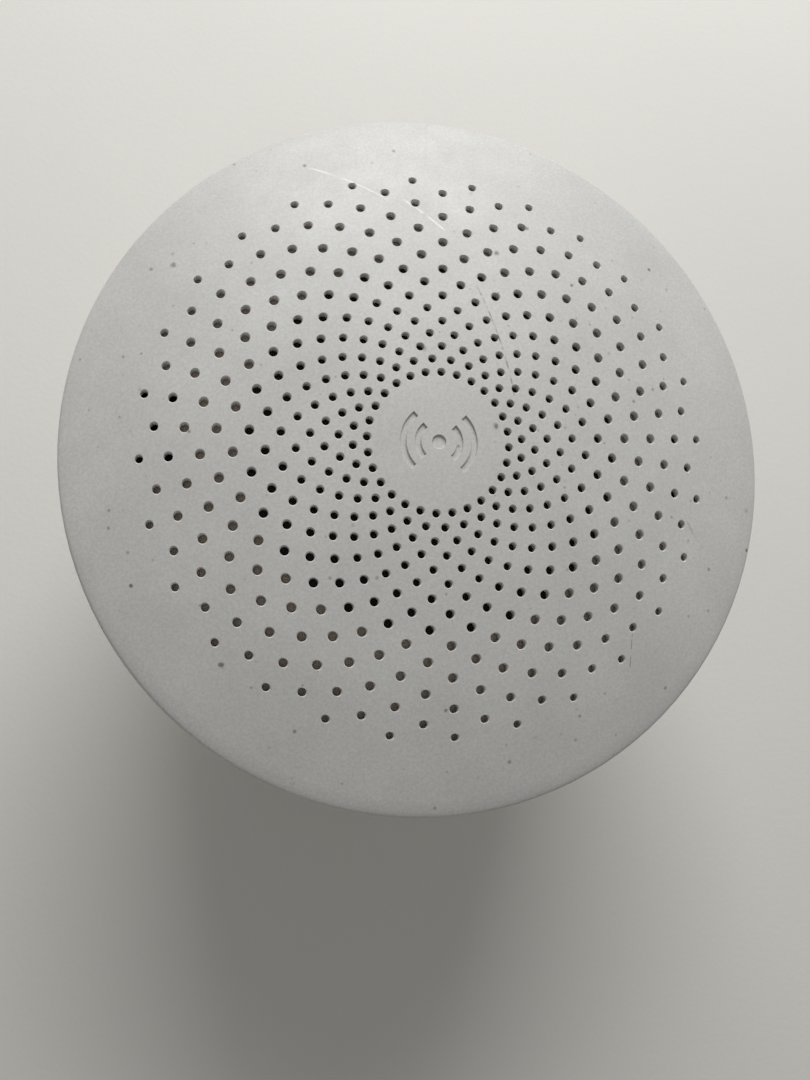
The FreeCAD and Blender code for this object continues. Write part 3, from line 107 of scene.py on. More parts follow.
def edit(piece: Object) -> None:
    """Opens one object in edit mode, set to points, with all of it selected."""
    hold(piece)
    bpy.ops.object.mode_set(mode="EDIT")
    bpy.ops.mesh.select_mode(type=Kind.POINTS.value)
    bpy.ops.mesh.select_all(action="SELECT")


def pick(kind: Kind, where: Test, facing: Vector | None = None) -> int:
    """Selects parts of the open mesh by their place and, for faces, their normal.

    Args:
        kind: what to select. An edge counts if both of its ends pass, a face if its middle does.
        where: the test of a place in millimetres.
        facing: the direction that a face has to look in.

    Returns:
        How many were selected.
    """
    bpy.ops.mesh.select_mode(type=kind.value)
    bpy.ops.mesh.select_all(action="DESELECT")
    mesh = bpy.context.edit_object.data
    cage = bmesh.from_edit_mesh(mesh)
    found = 0
    for item in {Kind.POINTS: cage.verts, Kind.EDGES: cage.edges, Kind.FACES: cage.faces}[kind]:
        if kind is Kind.POINTS:
            chosen = where(item.co / MM)
        elif kind is Kind.EDGES:
            chosen = all(where(end.co / MM) for end in item.verts)
        else:
            chosen = where(item.calc_center_median() / MM)
            chosen = chosen and (facing is None or item.normal.dot(facing) > 0.7)
        if chosen:
            item.select_set(True)
            found += 1
    cage.select_flush_mode()
    bmesh.update_edit_mesh(mesh)
    return found


def trace(outline: Sequence[Place]) -> None:
    """Turns the open mesh, a small plane, into one corner and extrudes it along an outline."""
    bpy.ops.mesh.merge(type="CENTER")
    bpy.ops.transform.translate(value=scaled(outline[0]))
    for here, there in zip(outline, outline[1:]):
        step = scaled([b - a for a, b in zip(here, there)])
        bpy.ops.mesh.extrude_region_move(TRANSFORM_OT_translate={"value": step})


def start_line(name: str, outline: Sequence[Place]) -> Object:
    """A new object in edit mode that holds one line of edges."""
    rest()
    bpy.ops.mesh.primitive_plane_add(size=MM)
    piece = bpy.context.object
    piece.name = name
    edit(piece)
    trace(outline)
    bpy.ops.mesh.select_all(action="SELECT")
    return piece


def close_up() -> None:
    """Merges doubles in the open mesh and turns its faces outwards."""
    bpy.ops.mesh.select_all(action="SELECT")
    bpy.ops.mesh.remove_doubles(threshold=MERGE * MM)
    bpy.ops.mesh.normals_make_consistent(inside=False)


def lathe(name: str, outline: Sequence[Point], steps: int) -> Object:
    """Spins an outline a full turn about Z.

    Args:
        name: the new object's name.
        outline: radius and height of each corner; a closed outline ends on its start.
        steps: how many flats make the turn.

    Returns:
        The turned object, with its faces outwards.
    """
    piece = start_line(name, [(radius, 0.0, z) for radius, z in outline])
    bpy.ops.mesh.spin(steps=steps, angle=math.tau, center=(0, 0, 0), axis=(0, 0, 1))
    close_up()
    rest()
    return piece


def arc(middle: Point, radius: float, start: float, end: float, steps: int) -> list[Point]:
    """Points along an arc of an outline, both ends included."""
    turns = [math.radians(start + (end - start) * n / steps) for n in range(steps + 1)]
    return [(middle[0] + radius * math.cos(t), middle[1] + radius * math.sin(t)) for t in turns]


def polar(radius: float, angle: float, z: float = 0.0) -> Place:
    """A point at a radius and an angle from +X."""
    return radius * math.cos(math.radians(angle)), radius * math.sin(math.radians(angle)), z


def settle(piece: Object) -> Object:
    """Applies an object's place, turn and size to its mesh."""
    hold(piece)
    bpy.ops.object.transform_apply(location=True, rotation=True, scale=True)
    rest()
    return piece


def join(name: str, *pieces: Object) -> Object:
    """Joins objects into one mesh with merged seams."""
    hold(*pieces)
    bpy.ops.object.join()
    pieces[0].name = name
    rest()
    return pieces[0]


def set_down(piece: Object, at: Place, turn: float = 0.0) -> Object:
    """A copy of an object with its own mesh, turned about Z and then moved."""
    copy = piece.copy()
    copy.data = piece.data.copy()
    bpy.context.scene.collection.objects.link(copy)
    return moved(copy, upright(at, turn))


def scrap(*pieces: Object) -> None:
    """Throws away patterns and cutters that are no longer needed."""
    for piece in pieces:
        bpy.data.objects.remove(piece)


def bar(name: str, size: Place, at: Place) -> Object:
    """A plain box about its middle, as stock for cutting and shaping."""
    rest()
    bpy.ops.mesh.primitive_cube_add(size=MM, location=scaled(at))
    piece = bpy.context.object
    piece.name = name
    piece.scale = size
    return settle(piece)


def rod(name: str, radius: float, length: float, at: Place, sides: int = 48) -> Object:
    """An upright round bar about its middle, as stock for cutting and shaping."""
    rest()
    bpy.ops.mesh.primitive_cylinder_add(
        vertices=sides, radius=radius * MM, depth=length * MM, location=scaled(at)
    )
    piece = bpy.context.object
    piece.name = name
    return settle(piece)


def prism(name: str, corners: Sequence[Place], push: Place) -> Object:
    """Fills a closed outline and pushes it out into a solid.

    Args:
        name: the new object's name.
        corners: the outline's corners, without the first one again at the end.
        push: how far and which way the outline is extruded.

    Returns:
        The solid, with its faces outwards.
    """
    piece = start_line(name, [*corners, corners[0]])
    bpy.ops.mesh.remove_doubles(threshold=MERGE * MM)
    bpy.ops.mesh.edge_face_add()
    bpy.ops.mesh.extrude_region_move(TRANSFORM_OT_translate={"value": scaled(push)})
    close_up()
    rest()
    return piece


def pill(name: str, length: float, height: float, near: float, far: float, z: float) -> Object:
    """A lozenge with round ends, long in Y, that reaches along X from near to far."""
    half, round_end = (length - height) / 2, height / 2
    ends = arc((half, z), round_end, 90, -90, 16) + arc((-half, z), round_end, 270, 90, 16)
    return prism(name, [(near, y, up) for y, up in ends], (far - near, 0, 0))


def radial(radius: float, angle: float, z: float) -> Matrix:
    """Where an upright piece goes so that it stands straight out of the side wall."""
    place = Matrix.Translation(scaled(polar(radius, angle, z)))
    return place @ Matrix.Rotation(math.radians(angle), 4, "Z") @ Matrix.Rotation(math.pi / 2, 4, "Y")


def moved(piece: Object, matrix: Matrix) -> Object:
    """Puts a piece somewhere else, turn and all, and applies that to its mesh."""
    piece.matrix_world = matrix
    return settle(piece)


def upright(at: Place, turn: float = 0.0) -> Matrix:
    """A place with a turn about Z."""
    return Matrix.Translation(scaled(at)) @ Matrix.Rotation(math.radians(turn), 4, "Z")


def carve(piece: Object, *cutters: Object) -> Object:
    """Cuts objects out of a piece and throws them away."""
    tool = join(cutters[0].name, *cutters) if len(cutters) > 1 else cutters[0]
    hold(piece)
    cut = piece.modifiers.new("carve", "BOOLEAN")
    cut.operation = "DIFFERENCE"
    cut.solver = "EXACT"
    cut.use_self = True
    cut.object = tool
    bpy.ops.object.modifier_apply(modifier=cut.name)
    scrap(tool)
    return piece


def ease(piece: Object, width: float, steps: int = 2, angle: float = 40.0) -> Object:
    """Rounds a piece's sharp edges."""
    hold(piece)
    soften = piece.modifiers.new("ease", "BEVEL")
    soften.width = width * MM
    soften.segments = steps
    soften.limit_method = "ANGLE"
    soften.angle_limit = math.radians(angle)
    soften.miter_outer = "MITER_ARC"
    bpy.ops.object.modifier_apply(modifier=soften.name)
    rest()
    return piece


def polish(piece: Object, angle: float = SMOOTH_ANGLE) -> Object:
    """Shades a finished piece smooth except over its sharp edges."""
    hold(piece)
    bpy.ops.object.shade_smooth_by_angle(angle=math.radians(angle))
    rest()
    return piece


# --- Finishes -----------------------------------------------------------------------------------------


class Recipe:
    """Builds the nodes of one material, a line for each node."""

    def __init__(self, name: str) -> None:
        """Starts a material with one Principled shader."""
        self.material = bpy.data.materials.new(name)
        self.material.use_nodes = True
        self.tree = self.material.node_tree
        self.shader = next(n for n in self.tree.nodes if n.type == "BSDF_PRINCIPLED")
        self.place = self.add("TexCoord").outputs["Object"]

    def add(self, kind: str, inputs: dict | None = None, **settings: object) -> bpy.types.Node:
        """Adds a node.

        Args:
            kind: the node's type without its prefix.
            inputs: values or sockets for its inputs, by name or index.
            settings: the node's own settings.

        Returns:
            The node.
        """
        node = self.tree.nodes.new("ShaderNode" + kind)
        for key, value in settings.items():
            setattr(node, key, value)
        for key, value in (inputs or {}).items():
            self.feed(node.inputs[key], value)
        return node

    def feed(self, socket: Socket, value: object) -> None:
        """Links a socket to another or sets its value."""
        if isinstance(value, bpy.types.NodeSocket):
            self.tree.links.new(value, socket)
        elif isinstance(value, tuple) and len(value) == 3 and socket.type == "RGBA":
            socket.default_value = (*value, 1.0)
        else:
            socket.default_value = value

    def shade(self, **values: object) -> None:
        """Sets or links the shader's inputs; a name's underscores stand for spaces."""
        for key, value in values.items():
            self.feed(self.shader.inputs[key.replace("_", " ")], value)

    def mapped(self, scale: Place, turn: Place = (0.0, 0.0, 0.0), shift: Place = (0.0, 0.0, 0.0)) -> Socket:
        """The object's coordinates, moved in millimetres, turned in degrees and stretched."""
        angles = tuple(math.radians(a) for a in turn)
        shifted = self.add("Mapping", {"Vector": self.place, "Location": scaled(shift)}).outputs[0]
        return self.add("Mapping", {"Vector": shifted, "Rotation": angles, "Scale": scale}).outputs[0]

    def noise(self, size: float, detail: float = 3.0, where: Socket | None = None, rough: float = 0.5) -> Socket:
        """Soft noise whose blotches are about size across."""
        inputs = {"Vector": where or self.place, "Scale": 1 / (size * MM), "Detail": detail, "Roughness": rough}
        return self.add("TexNoise", inputs).outputs[0]

    def cells(self, size: float, feature: str = "F1", where: Socket | None = None) -> bpy.types.Node:
        """A cell pattern whose cells are about size across."""
        inputs = {"Vector": where or self.place, "Scale": 1 / (size * MM)}
        return self.add("TexVoronoi", inputs, feature=feature)

    def waves(self, pitch: float, axis: str, warp: float = 0.0, where: Socket | None = None) -> Socket:
        """Parallel ribs a pitch apart along an axis."""
        inputs = {"Vector": where or self.place, "Scale": 0.314 / (pitch * MM), "Distortion": warp}
        return self.add("TexWave", inputs, bands_direction=axis).outputs[1]

    def maths(self, kind: str, first: object, second: object = 0.0) -> Socket:
        """One sum."""
        return self.add("Math", {0: first, 1: second}, operation=kind).outputs[0]

    def level(self, value: Socket, low: float, high: float, start: float = 0.0, end: float = 1.0) -> Socket:
        """A value stretched from one range to another and kept inside it."""
        inputs = {"Value": value, "From Min": low, "From Max": high, "To Min": start, "To Max": end}
        return self.add("MapRange", inputs).outputs[0]

    def tint(self, share: object, first: object, second: object, kind: str = "MIX") -> Socket:
        """Two colours mixed by a share."""
        node = self.add("Mix", data_type="RGBA", blend_type=kind)
        for socket, value in zip((node.inputs[0], node.inputs[6], node.inputs[7]), (share, first, second)):
            self.feed(socket, value)
        return node.outputs[2]

    def bump(self, height: Socket, depth: float, strength: float = 1.0, under: Socket | None = None) -> Socket:
        """A relief of some depth, over another one."""
        inputs = {"Height": height, "Distance": depth * MM, "Strength": strength}
        node = self.add("Bump", inputs)
        if under is not None:
            self.feed(node.inputs["Normal"], under)
        return node.outputs[0]

    def axes(self) -> dict[str, Socket]:
        """The place split into X, Y and Z."""
        return dict(zip("XYZ", self.add("SeparateXYZ", {0: self.place}).outputs))


def darker(colour: Colour, share: float) -> Colour:
    """A colour with its light cut to a share."""
    return tuple(min(1.0, part * share) for part in colour)


@dataclass(frozen=True)
class Finish:
    """A finish that pieces share, named after its slot in the record."""

    slot: str
    colour: Colour
    roughness: float = 0.5
    name: str = ""

    def mix(self, recipe: Recipe) -> None:
        """Fills in the shader."""
        raise NotImplementedError

    def material(self) -> Material:
        """The finish's material, made on first use."""
        name = f"finish_{self.name or self.slot}"
        made = bpy.data.materials.get(name)
        if made is None:
            recipe = Recipe(name)
            self.mix(recipe)
            made = recipe.material
            made.diffuse_color = (*self.colour, 1.0)
        return made

    def on(self, piece: Object) -> Object:
        """Puts the finish on a new piece or on a node that came with the frame."""
        if piece.material_slots:
            for slot in piece.material_slots:
                slot.material = self.material()
        else:
            piece.data.materials.append(self.material())
        return piece


@dataclass(frozen=True)
class Moulded(Finish):
    """Matte moulded plastic with a fine grain, faint flow mottling and a little dust."""

    grain: float = 0.2
    grain_depth: float = 0.004
    mottle: float = 0.04
    fleck: float = 0.12
    specks: float = 0.0

    def mix(self, recipe: Recipe) -> None:
        """Grain in the relief, mottling in colour and gloss, and scattered specks."""
        flow = recipe.noise(9.0, 4.0)
        fine = recipe.noise(self.grain, 3.0, rough=0.6)
        tone = recipe.level(flow, 0.3, 0.7, 1 - self.mottle, 1 + self.mottle)
        shade = recipe.add("CombineColor", {0: tone, 1: tone, 2: tone}).outputs[0]
        colour = recipe.tint(1.0, self.colour, shade, "MULTIPLY")
        colour = recipe.tint(recipe.level(fine, 0.35, 0.65, 0.0, self.fleck), colour, darker(self.colour, 0.55))
        if self.specks:
            colour = self.dusted(recipe, colour)
        gloss = recipe.level(recipe.noise(3.0, 4.0), 0.3, 0.7, self.roughness - 0.04, self.roughness + 0.05)
        recipe.shade(Base_Color=colour, Roughness=gloss, Normal=recipe.bump(fine, self.grain_depth))

    def dusted(self, recipe: Recipe, colour: Socket) -> Socket:
        """Sparse dark specks and faint smudges over a colour."""
        for size, reach, keep, depth in ((2.6, 0.11, 0.6, 0.9), (7.0, 0.06, 0.7, 0.9), (1.6, 0.12, 0.5, 0.5)):
            cell = recipe.cells(size)
            fray = recipe.level(recipe.noise(0.3), 0.3, 0.7, -0.02, 0.02)
            ragged = recipe.maths("ADD", cell.outputs["Distance"], fray)
            chance = recipe.add("SeparateColor", {0: cell.outputs["Color"]}).outputs[0]
            spot = recipe.level(ragged, reach, reach * 0.4)
            spot = recipe.maths("MULTIPLY", spot, recipe.level(chance, 1 - keep, 1.0))
            colour = recipe.tint(recipe.maths("MULTIPLY", spot, depth * self.specks), colour, (0.12, 0.105, 0.09))
        return colour


@dataclass(frozen=True)
class Scratch:
    """A curved scratch on the dome, as the circle it lies on and the part of it that shows."""

    middle: Point
    radius: float
    centre: Point
    reach: float
    width: float
    colour: Colour
    strength: float

    def mask(self, recipe: Recipe, across: Socket) -> Socket:
        """Where the scratch shows, with a broken edge."""
        flat = recipe.add("VectorMath", {0: recipe.place, 1: (1, 1, 0)}, operation="MULTIPLY").outputs[0]
        sockets = []
        for point in (self.middle, self.centre):
            node = recipe.add("VectorMath", {0: flat, 1: scaled((*point, 0.0))}, operation="DISTANCE")
            sockets.append(node.outputs["Value"])
        off = recipe.maths("ABSOLUTE", recipe.maths("SUBTRACT", sockets[0], self.radius * MM))
        line = recipe.level(off, self.width * MM, self.width * 0.25 * MM)
        ends = recipe.level(sockets[1], self.reach * MM, self.reach * 0.8 * MM)
        broken = recipe.maths("MULTIPLY", ends, across)
        return recipe.maths("MULTIPLY", recipe.maths("MULTIPLY", line, broken), self.strength)


@dataclass(frozen=True)
class WornShell(Moulded):
    """The front's plastic, which has been handled: the moulding's grain under a few fine scratches."""

    scratches: tuple[Scratch, ...] = ()

    def mix(self, recipe: Recipe) -> None:
        """The moulding's own recipe, with the scratches laid over it."""
        super().mix(recipe)
        colour = recipe.shader.inputs["Base Color"].links[0].from_socket
        under = recipe.shader.inputs["Normal"].links[0].from_socket
        across = recipe.level(recipe.noise(1.1, 4.0), 0.38, 0.55)
        for scratch in self.scratches:
            mask = scratch.mask(recipe, across)
            colour = recipe.tint(mask, colour, scratch.colour)
            under = recipe.bump(recipe.maths("MULTIPLY", mask, -1.0), 0.01, 1.0, under)
        recipe.shade(Base_Color=colour, Normal=under)


@dataclass(frozen=True)
class Milky(Finish):
    """Translucent white plastic that spreads the light of the LEDs behind it."""

    def mix(self, recipe: Recipe) -> None:
        """Light that goes in and comes out nearby, with cloudy depth."""
        cloud = recipe.level(recipe.noise(5.0, 4.0), 0.3, 0.7)
        colour = recipe.tint(cloud, darker(self.colour, 0.94), self.colour)
        gloss = recipe.level(recipe.noise(1.2, 3.0), 0.3, 0.7, self.roughness - 0.05, self.roughness + 0.05)
        relief = recipe.bump(recipe.noise(0.5, 2.0), 0.003)
        recipe.shade(Base_Color=colour, Roughness=gloss, Normal=relief, Subsurface_Weight=0.6)
        recipe.shade(Subsurface_Scale=0.002, Subsurface_Radius=(1.0, 0.95, 0.9), Transmission_Weight=0.08, IOR=1.49)


@dataclass(frozen=True)
class Metal(Finish):
    """Plated or drawn metal: fine lines along one axis, cloudy tarnish and rubbed high spots."""

    lines: Place = (1.0, 1.0, 0.05)
    line_size: float = 0.08
    tarnish: Colour = (0.35, 0.3, 0.24)
    wear: float = 0.3
    line_depth: float = 0.004

    def mix(self, recipe: Recipe) -> None:
        """Streaks in gloss and relief over a cloudy plating."""
        streaks = recipe.noise(self.line_size, 3.0, recipe.mapped(self.lines))
        cloud = recipe.level(recipe.noise(2.6, 5.0, rough=0.65), 0.42, 0.72, 0.0, self.wear)
        colour = recipe.tint(cloud, self.colour, self.tarnish)
        colour = recipe.tint(recipe.level(streaks, 0.4, 0.6, 0.0, 0.18), colour, darker(self.colour, 0.7))
        gloss = recipe.level(streaks, 0.3, 0.7, self.roughness - 0.07, self.roughness + 0.09)
        recipe.shade(Base_Color=colour, Metallic=1.0, Roughness=gloss, Normal=recipe.bump(streaks, self.line_depth))


@dataclass(frozen=True)
class Coated(Finish):
    """Baked black coating on pressed metal, with an orange-peel surface and a few chips."""

    bare: Colour = (0.4, 0.4, 0.41)

    def mix(self, recipe: Recipe) -> None:
        """Peel in the relief and chips where the metal shows."""
        peel = recipe.noise(0.35, 2.0)
        cell = recipe.cells(5.0)
        chip = recipe.level(recipe.maths("ADD", cell.outputs["Distance"], recipe.noise(0.4)), 0.62, 0.58)
        colour = recipe.tint(recipe.level(peel, 0.3, 0.7), darker(self.colour, 0.8), darker(self.colour, 1.3))
        colour = recipe.tint(chip, colour, self.bare)
        recipe.shade(Base_Color=colour, Metallic=chip, Roughness=self.roughness)
        recipe.shade(Normal=recipe.bump(recipe.maths("SUBTRACT", peel, chip), 0.02))


@dataclass(frozen=True)
class Sintered(Finish):
    """Fired ferrite: near black, faintly crystalline, with small pits."""

    def mix(self, recipe: Recipe) -> None:
        """Pits and a crystalline glitter in the gloss."""
        crystal = recipe.cells(0.18).outputs["Color"]
        glint = recipe.add("SeparateColor", {0: crystal}).outputs[0]
        pits = recipe.level(recipe.noise(0.6, 4.0), 0.3, 0.42)
        colour = recipe.tint(glint, darker(self.colour, 0.75), darker(self.colour, 1.35))
        colour = recipe.tint(pits, darker(self.colour, 0.4), colour)
        recipe.shade(Base_Color=colour, Roughness=recipe.level(glint, 0.0, 1.0, 0.38, 0.62), Metallic=0.25)
        recipe.shade(Normal=recipe.bump(pits, 0.03))


@dataclass(frozen=True)
class Wound(Finish):
    """Enamelled wire laid turn against turn along an axis."""

    pitch: float = 0.12
    axis: str = "Z"

    def mix(self, recipe: Recipe) -> None:
        """Round wires with dark gaps between them and a lacquer over all."""
        turns = recipe.waves(self.pitch, self.axis, 0.6)
        colour = recipe.tint(recipe.level(turns, 0.1, 0.6), darker(self.colour, 0.25), self.colour)
        colour = recipe.tint(recipe.level(recipe.noise(1.0), 0.35, 0.7, 0.0, 0.4), colour, darker(self.colour, 0.6))
        recipe.shade(Base_Color=colour, Metallic=0.85, Roughness=self.roughness, Coat_Weight=0.6, Coat_Roughness=0.12)
        recipe.shade(Normal=recipe.bump(turns, 0.04))


@dataclass(frozen=True)
class Woven(Finish):
    """Cloth of square weave, its threads crossing over and under."""

    thread: float = 0.3
    gap: Colour = (0.004, 0.004, 0.004)

    def mix(self, recipe: Recipe) -> None:
        """Two sets of ribs, multiplied into a weave, with fuzz."""
        warp, weft = recipe.waves(self.thread, "X"), recipe.waves(self.thread, "Y")
        weave = recipe.maths("MULTIPLY", warp, weft)
        fuzz = recipe.noise(0.05, 2.0)
        colour = recipe.tint(recipe.level(weave, 0.05, 0.5), self.gap, self.colour)
        colour = recipe.tint(recipe.level(fuzz, 0.4, 0.6, 0.0, 0.4), colour, darker(self.colour, 1.6))
        recipe.shade(Base_Color=colour, Roughness=self.roughness, Sheen_Weight=0.1, Sheen_Roughness=0.5)
        recipe.shade(Normal=recipe.bump(recipe.maths("ADD", weave, recipe.maths("MULTIPLY", fuzz, 0.2)), 0.08))


@dataclass(frozen=True)
class Pressed(Finish):
    """Pressed paper pulp with fibres that lie every way."""

    def mix(self, recipe: Recipe) -> None:
        """Long fibres from stretched noise, over pulp."""
        fibres = [recipe.noise(0.12, 3.0, recipe.mapped((1.0, 0.08, 1.0), (0, 0, turn))) for turn in (20, 80, 140)]
        felt = recipe.maths("MAXIMUM", recipe.maths("MAXIMUM", fibres[0], fibres[1]), fibres[2])
        pulp = recipe.noise(1.5, 4.0)
        colour = recipe.tint(recipe.level(felt, 0.5, 0.75), self.colour, darker(self.colour, 2.2))
        colour = recipe.tint(recipe.level(pulp, 0.35, 0.65, 0.0, 0.5), colour, darker(self.colour, 0.6))
        recipe.shade(Base_Color=colour, Roughness=self.roughness, Normal=recipe.bump(felt, 0.03))


@dataclass(frozen=True)
class Rubber(Finish):
    """Rubber, foam or soft insulation with pores of one size."""

    pore: float = 0.3
    pore_depth: float = 0.02

    def mix(self, recipe: Recipe) -> None:
        """Pores in the relief and a chalky bloom."""
        pores = recipe.level(recipe.cells(self.pore).outputs["Distance"], 0.0, 0.6)
        bloom = recipe.level(recipe.noise(4.0, 5.0), 0.45, 0.75, 0.0, 0.25)
        colour = recipe.tint(pores, darker(self.colour, 0.6), self.colour)
        colour = recipe.tint(bloom, colour, tuple(min(1.0, part + 0.06) for part in self.colour))
        gloss = recipe.level(bloom, 0.0, 0.25, self.roughness, min(1.0, self.roughness + 0.2))
        recipe.shade(Base_Color=colour, Roughness=gloss, Normal=recipe.bump(pores, self.pore_depth))


@dataclass(frozen=True)
class Board(Finish):
    """Laminate under solder mask: buried tracks, open pads and a glass weave."""

    pad: Colour = (0.75, 0.72, 0.66)
    track: float = 2.2
    open_pads: float = 1.9

    def mix(self, recipe: Recipe) -> None:
        """Tracks as cell borders, pads as cell middles, and a weave under both."""
        inputs = {"Vector": recipe.place, "Scale": 1 / (self.track * MM)}
        square = recipe.add("TexVoronoi", inputs, distance="MANHATTAN", feature="F1")
        ways = recipe.level(recipe.maths("PINGPONG", square.outputs["Distance"], 0.14), 0.05, 0.08)
        weave = recipe.maths("MULTIPLY", recipe.waves(0.45, "X"), recipe.waves(0.45, "Y"))
        dots = recipe.cells(self.open_pads).outputs["Distance"]
        pads = recipe.level(dots, 0.15, 0.13)
        colour = recipe.tint(ways, darker(self.colour, 0.75), darker(self.colour, 1.5))
        colour = recipe.tint(recipe.level(weave, 0.2, 0.9, 0.0, 0.15), colour, darker(self.colour, 2.0))
        colour = recipe.tint(pads, colour, self.pad)
        relief = recipe.maths("ADD", recipe.maths("MULTIPLY", ways, 0.5), pads)
        recipe.shade(Base_Color=colour, Metallic=recipe.maths("MULTIPLY", pads, 0.9), Roughness=self.roughness)
        recipe.shade(Normal=recipe.bump(relief, 0.03), Coat_Weight=0.3, Coat_Roughness=0.2)


@dataclass(frozen=True)
class Dipped(Finish):
    """Glossy dipped, shrunk or taped plastic with slow ripples and a stripe if it has a polarity."""

    ripple: float = 1.2
    stripe: Colour | None = None
    stripe_angle: float = 20.0
    alpha: float = 1.0

    def mix(self, recipe: Recipe) -> None:
        """Ripples in the relief, thin spots in colour and dust in the gloss."""
        wave = recipe.noise(self.ripple, 2.0)
        colour = recipe.tint(recipe.level(wave, 0.3, 0.7), darker(self.colour, 0.8), darker(self.colour, 1.15))
        if self.stripe is not None:
            ray = recipe.add("Mapping", {"Vector": recipe.place, "Rotation": (0, 0, math.radians(self.stripe_angle))})
            band = recipe.level(recipe.waves(8.0, "X", 0.0, ray.outputs[0]), 0.9, 0.93)
            colour = recipe.tint(band, colour, self.stripe)
        gloss = recipe.level(recipe.noise(0.5, 4.0), 0.35, 0.7, self.roughness, self.roughness + 0.15)
        recipe.shade(Base_Color=colour, Roughness=gloss, Normal=recipe.bump(wave, 0.03), Alpha=self.alpha)
        recipe.shade(Coat_Weight=0.5, Coat_Roughness=0.08)


@dataclass(frozen=True)
class Smoked(Finish):
    """Clear smoked plastic over a sensor."""

    def mix(self, recipe: Recipe) -> None:
        """A dark tint that is clearer in the middle of each blotch, under a gloss."""
        haze = recipe.level(recipe.noise(0.8, 3.0), 0.3, 0.7)
        colour = recipe.tint(haze, darker(self.colour, 0.7), darker(self.colour, 1.3))
        gloss = recipe.level(recipe.noise(0.2, 3.0), 0.35, 0.7, self.roughness, self.roughness + 0.06)
        recipe.shade(Base_Color=colour, Roughness=gloss, Transmission_Weight=0.35, IOR=1.5, Coat_Weight=0.8)
        recipe.shade(Coat_Roughness=0.03, Normal=recipe.bump(haze, 0.002))


@dataclass(frozen=True)
class Zoned(Finish):
    """A part of two stuffs that change over along one axis: bands of the first, then the second."""

    other: Colour = (0.5, 0.5, 0.5)
    axis: str = "X"
    edges: Point = (0.0, 1.0)
    first_metal: float = 0.0
    other_metal: float = 1.0
    turn_pitch: float = 0.0

    def mix(self, recipe: Recipe) -> None:
        """The first stuff between the edges and the other outside them."""
        along = recipe.axes()[self.axis]
        low, high = scaled(self.edges)
        above, below = recipe.maths("GREATER_THAN", along, low), recipe.maths("LESS_THAN", along, high)
        inside = recipe.maths("MULTIPLY", above, below)
        cloud = recipe.noise(0.8, 4.0)
        first = recipe.tint(recipe.level(cloud, 0.3, 0.7), darker(self.colour, 0.75), self.colour)
        height = cloud
        if self.turn_pitch:
            turns = recipe.waves(self.turn_pitch, self.axis, 0.5)
            first = recipe.tint(recipe.level(turns, 0.1, 0.6), darker(self.colour, 0.3), first)
            height = recipe.maths("MULTIPLY", turns, inside)
        other = recipe.tint(recipe.level(cloud, 0.3, 0.7), darker(self.other, 0.8), self.other)
        metal = recipe.level(inside, 0.0, 1.0, self.other_metal, self.first_metal)
        recipe.shade(Base_Color=recipe.tint(inside, other, first), Metallic=metal, Roughness=self.roughness)
        recipe.shade(Normal=recipe.bump(height, 0.02))


SHELL = (0.645, 0.641, 0.622)
SMUDGE = (0.30, 0.29, 0.27)

SCRATCHES = (
    Scratch((-23.0, -1.5), 34.2, (-10.6, 30.6), 5.2, 0.16, (0.86, 0.87, 0.85), 0.75),
    Scratch((-23.0, -1.5), 35.3, (-2.2, 27.0), 3.4, 0.17, (0.88, 0.89, 0.87), 0.85),
    Scratch((-40.0, -4.0), 49.3, (6.6, 12.2), 7.2, 0.13, (0.22, 0.21, 0.19), 0.8),
    Scratch((70.0, -21.5), 46.6, (23.4, -20.0), 3.6, 0.09, (0.24, 0.23, 0.21), 0.8),
    Scratch((44.0, 2.0), 16.2, (31.3, -7.6), 2.0, 0.24, SMUDGE, 0.35),
)


